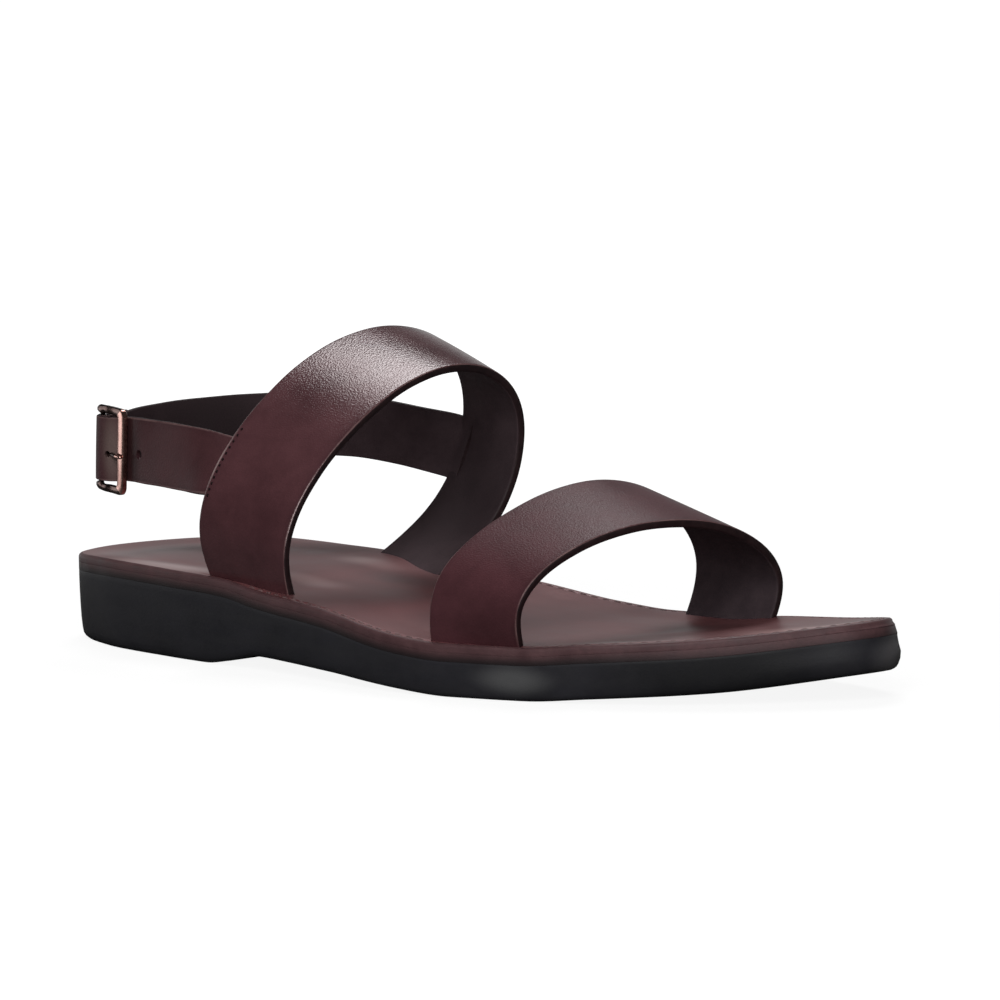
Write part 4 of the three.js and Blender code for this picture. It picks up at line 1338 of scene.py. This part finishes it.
strap_grain = strap_finish("strap_grain", (0.052, 0.019, 0.0225), (0.088, 0.033, 0.038), (0.20, 0.27), 0.55)
toe_grain = strap_finish("toe_grain", (0.050, 0.0175, 0.021), (0.083, 0.029, 0.035), (0.40, 0.48), 0.17)
sling_grain = strap_finish("sling_grain", (0.050, 0.020, 0.0225), (0.078, 0.031, 0.035), (0.42, 0.52), 0.12)
tree = strap_grain.node_tree
# painted highlight: a lighter band along the instep strap's lateral sewn rear edge, as where its rounded
# edge catches the light
edge_band = eased(tree, add(tree, "Attribute", attribute_name="rim", out="Fac"), 0.72, 0.92)
sewn_edge_highlight = times(tree, edge_band, wear_and_light_mask(strap_grain, seam_middles["lateral"], (9, 14, 13), 0.9))
paint_over(strap_grain, sewn_edge_highlight, (0.30, 0.215, 0.21))
paint_wear_and_light(sling_grain, [
    # painted reflection: a lighter patch on the strap inside the buckle frame
    (beside_buckle(-0.6, 1.0), (5, 4, 16), 0.8, (0.145, 0.105, 0.095)),
    # painted shadow: a dark patch on the strap just beyond the buckle's front bar
    (beside_buckle(front_bar_at + 4.5, -1.5), (5.5, 5, 16), 0.8, (0.018, 0.008, 0.009)),
])
strap_edge = new_finish(
    "strap_edge", (0.010, 0.005, 0.006), (0.024, 0.011, 0.012), 260.0, (0.45, 0.62), 2600, 0.03, gloss=0.25)
strap_flesh = flesh_finish("strap_flesh", (0.042, 0.027, 0.031), (0.064, 0.043, 0.048))
sling_flesh = flesh_finish("sling_flesh", (0.042, 0.027, 0.031), (0.064, 0.043, 0.048))
# painted shade: the toe strap's inside gets a darker copy of the flesh finish
shaded_toe_flesh = flesh_finish("shaded_toe_flesh", (0.028, 0.019, 0.0225), (0.047, 0.033, 0.037))
# painted shade: the heel loop's inside is darker towards the heel
paint_wear_and_light(sling_flesh, [((24, 16, 58), (42, 34, 30), 0.85, (0.014, 0.009, 0.010))])
# painted shade on the inside of the instep strap's inner leg
paint_wear_and_light(strap_flesh, [((106, 40, 42), (40, 28, 30), 0.7, (0.016, 0.010, 0.0115))])
print("finishes so far:", len(bpy.data.materials))

# %% Footbed, edge and thread finishes
POLISHED_ROUGHNESS, RIM_ROUGHNESS = 0.285, 0.7
POLISHED = [
    # places of the last that feet and straps have rubbed smooth: middle, half lengths, how much
    ((62, -36, 25), (36, 12, 9), 1.0),
    ((30, -16, 25), (30, 22, 9), 0.6),
    ((103, -22, 23), (17, 9, 9), 0.9),
    ((94, 14, 24), (15, 11, 9), 0.8),
    ((145, -8, 20), (30, 24, 9), 0.4),
    ((229, -26, 16), (15, 9, 8), 0.7),
    ((276, 8, 21), (18, 20, 9), 1.0),
]
# painted light on the footbed: the lighter places are painted sheen on its polished spots, the darker ones
# painted shade
PAINTED_SHEEN, PAINTED_SHADE = (0.35, 0.21, 0.205), (0.040, 0.014, 0.015)
FOOTBED_SHEEN_AND_SHADE = [
    # places of the last with painted sheen (lighter) and painted shade (darker): middle, half lengths, how
    # much, colour
    ((266, 6, 20), (24, 18, 9), 1.0, PAINTED_SHEEN),
    ((282, 29, 22), (20, 16, 9), 0.85, PAINTED_SHADE),
    ((60, -36, 25), (34, 10, 9), 0.6, PAINTED_SHEEN),
    ((104, -20, 23), (22, 8, 9), 0.45, PAINTED_SHEEN),
    ((94, 14, 24), (16, 8, 9), 0.4, PAINTED_SHEEN),
    ((118, 6, 22), (20, 12, 9), 0.6, PAINTED_SHADE),
    ((34, 6, 25), (26, 14, 9), 0.5, PAINTED_SHADE),
    ((168, -16, 17), (22, 30, 9), 0.6, PAINTED_SHADE),
    ((222, 16, 16), (30, 16, 9), 0.6, PAINTED_SHADE),
]
footbed_grain = new_finish(
    "footbed_grain", (0.101, 0.035, 0.037), (0.160, 0.058, 0.061), 38.0, (0.37, 0.46), 1500, 0.004,
    gloss=0.45, tint=(1.0, 0.78, 0.80))
paint_streaks(footbed_grain, 60.0, 0.35, 0.35, (0.165, 0.074, 0.075))
# painted shade: the footbed's rolled rim, wider round the toe, is darker, as where it turns from the light;
# the same mask also makes the rim matt
painted_rim_shade = add(footbed_grain.node_tree, "Group", node_tree=rim_wear_and_light, Scale=90.0, Amount=1.3, out="Mask")
paint_over(footbed_grain, painted_rim_shade, (0.030, 0.013, 0.014))
paint_wear_and_light(footbed_grain, FOOTBED_SHEEN_AND_SHADE)
for polished in POLISHED:
    paint_over(footbed_grain, wear_and_light_mask(footbed_grain, *polished), POLISHED_ROUGHNESS, "Roughness")
paint_over(footbed_grain, painted_rim_shade, RIM_ROUGHNESS, "Roughness")

sole_edge = new_finish(
    "sole_edge", (0.064, 0.030, 0.033), (0.112, 0.056, 0.060), 120.0, (0.4, 0.6), 2400, 0.03, gloss=0.22)
paint_streaks(sole_edge, 900.0, 0.05, 0.5, (0.064, 0.034, 0.036))
tree = sole_edge.node_tree
# the leather edges get darker towards the bottom
darker_towards_bottom = eased(tree, add(tree, "Attribute", attribute_name="fall", out="Fac"), 0.3, 1.0)
paint_over(sole_edge, darker_towards_bottom, (0.016, 0.0115, 0.0125))
thread = new_finish(
    "thread", (0.070, 0.038, 0.040), (0.19, 0.12, 0.12), 300.0, (0.4, 0.6), 5000, 0.05, 1.0, 0.15)
dark_thread = new_finish(
    "dark_thread", (0.007, 0.004, 0.0045), (0.014, 0.007, 0.008), 300.0, (0.6, 0.8), 5000, 0.05, 1.0, 0.08)
# the count is of the footbed's places of painted sheen and shade
print("footbed has", len(FOOTBED_SHEEN_AND_SHADE), "worn places")

# %% Rubber and metal finishes
RUBBER_SHEEN_AND_SHADE = [
    # middle of the place on the last, its half lengths, how strong it is, its colour
    # painted shade: the front of the rubber darker
    ((262, -16, 8), (54, 44, 26), 0.75, (0.004, 0.004, 0.0045)),
    # lighter patch on the outer side at the ball: partly a rubbed spot, partly painted sheen
    ((211, -46, 6), (16, 14, 5.5), 1.0, (0.078, 0.078, 0.080)),
    # painted highlight on the toe end of the rubber
    ((289, 25, 12), (8, 14, 8), 0.9, (0.115, 0.110, 0.115)),
]
rubber = new_finish(
    "sole_rubber", (0.0160, 0.0157, 0.0190), (0.0250, 0.0244, 0.0295), 60.0, (0.42, 0.58), 2200, 0.015, 1.0,
    gloss=0.16)
paint_streaks(rubber, 300.0, 0.08, 0.4, (0.030, 0.029, 0.031))
paint_wear_and_light(rubber, RUBBER_SHEEN_AND_SHADE)
# the two platings are one copper: light as a painted highlight on the front bar and prong tip, dark as
# painted shade elsewhere
metal = new_finish(
    "lit_copper_plate", (0.34, 0.18, 0.15), (0.76, 0.47, 0.41), 180.0, (0.13, 0.24), 1500, 0.004, metallic=1.0)
shaded_plate = new_finish(
    "shaded_plate", (0.045, 0.028, 0.026), (0.14, 0.085, 0.075), 260.0, (0.12, 0.22), 1500, 0.004,
    metallic=1.0)
print("finishes:", [material.name for material in bpy.data.materials])

# %% Finish and hand over each piece
SHARP_ANGLE = math.radians(38)
PIECES = [
    (outsole, "outsole", "rubber", [rubber, rubber, rubber]),
    (midsole, "midsole", "edge_leather", [sole_edge, sole_edge, sole_edge]),
    (insole, "insole", "footbed_leather", [sole_edge, footbed_grain, strap_flesh]),
    (toe_strap, "toe_strap", "strap_leather", [toe_grain, strap_edge, shaded_toe_flesh]),
    (instep_strap, "upper", "strap_leather", [strap_grain, strap_edge, strap_flesh]),
    (medial_sling, "upper", "strap_leather", [sling_grain, strap_edge, sling_flesh]),
    (lateral_sling, "upper", "strap_leather", [sling_grain, strap_edge, sling_flesh]),
    (buckle_frame, "buckle_frame", "buckle_metal", [metal, shaded_plate]),
    (buckle_prong, "buckle_prong", "buckle_metal", [metal, shaded_plate]),
    (footbed_stitches, None, "footbed_leather", [thread]),
    *((row, None, "strap_leather", [dark_thread]) for row in strap_stitches),
]
for piece, node, slot, finishes in PIECES:
    for i, finish in enumerate(finishes):
        piece.data.materials[i] = finish
    piece.data.shade_smooth()
    piece.data.set_sharp_from_angle(angle=SHARP_ANGLE)
    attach(piece, "root")
    if node:
        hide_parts(node)
triangles = {piece.name: sum(len(p.vertices) - 2 for p in piece.data.polygons) for piece, *_ in PIECES}
print("triangles:", triangles, "in all", sum(triangles.values()))
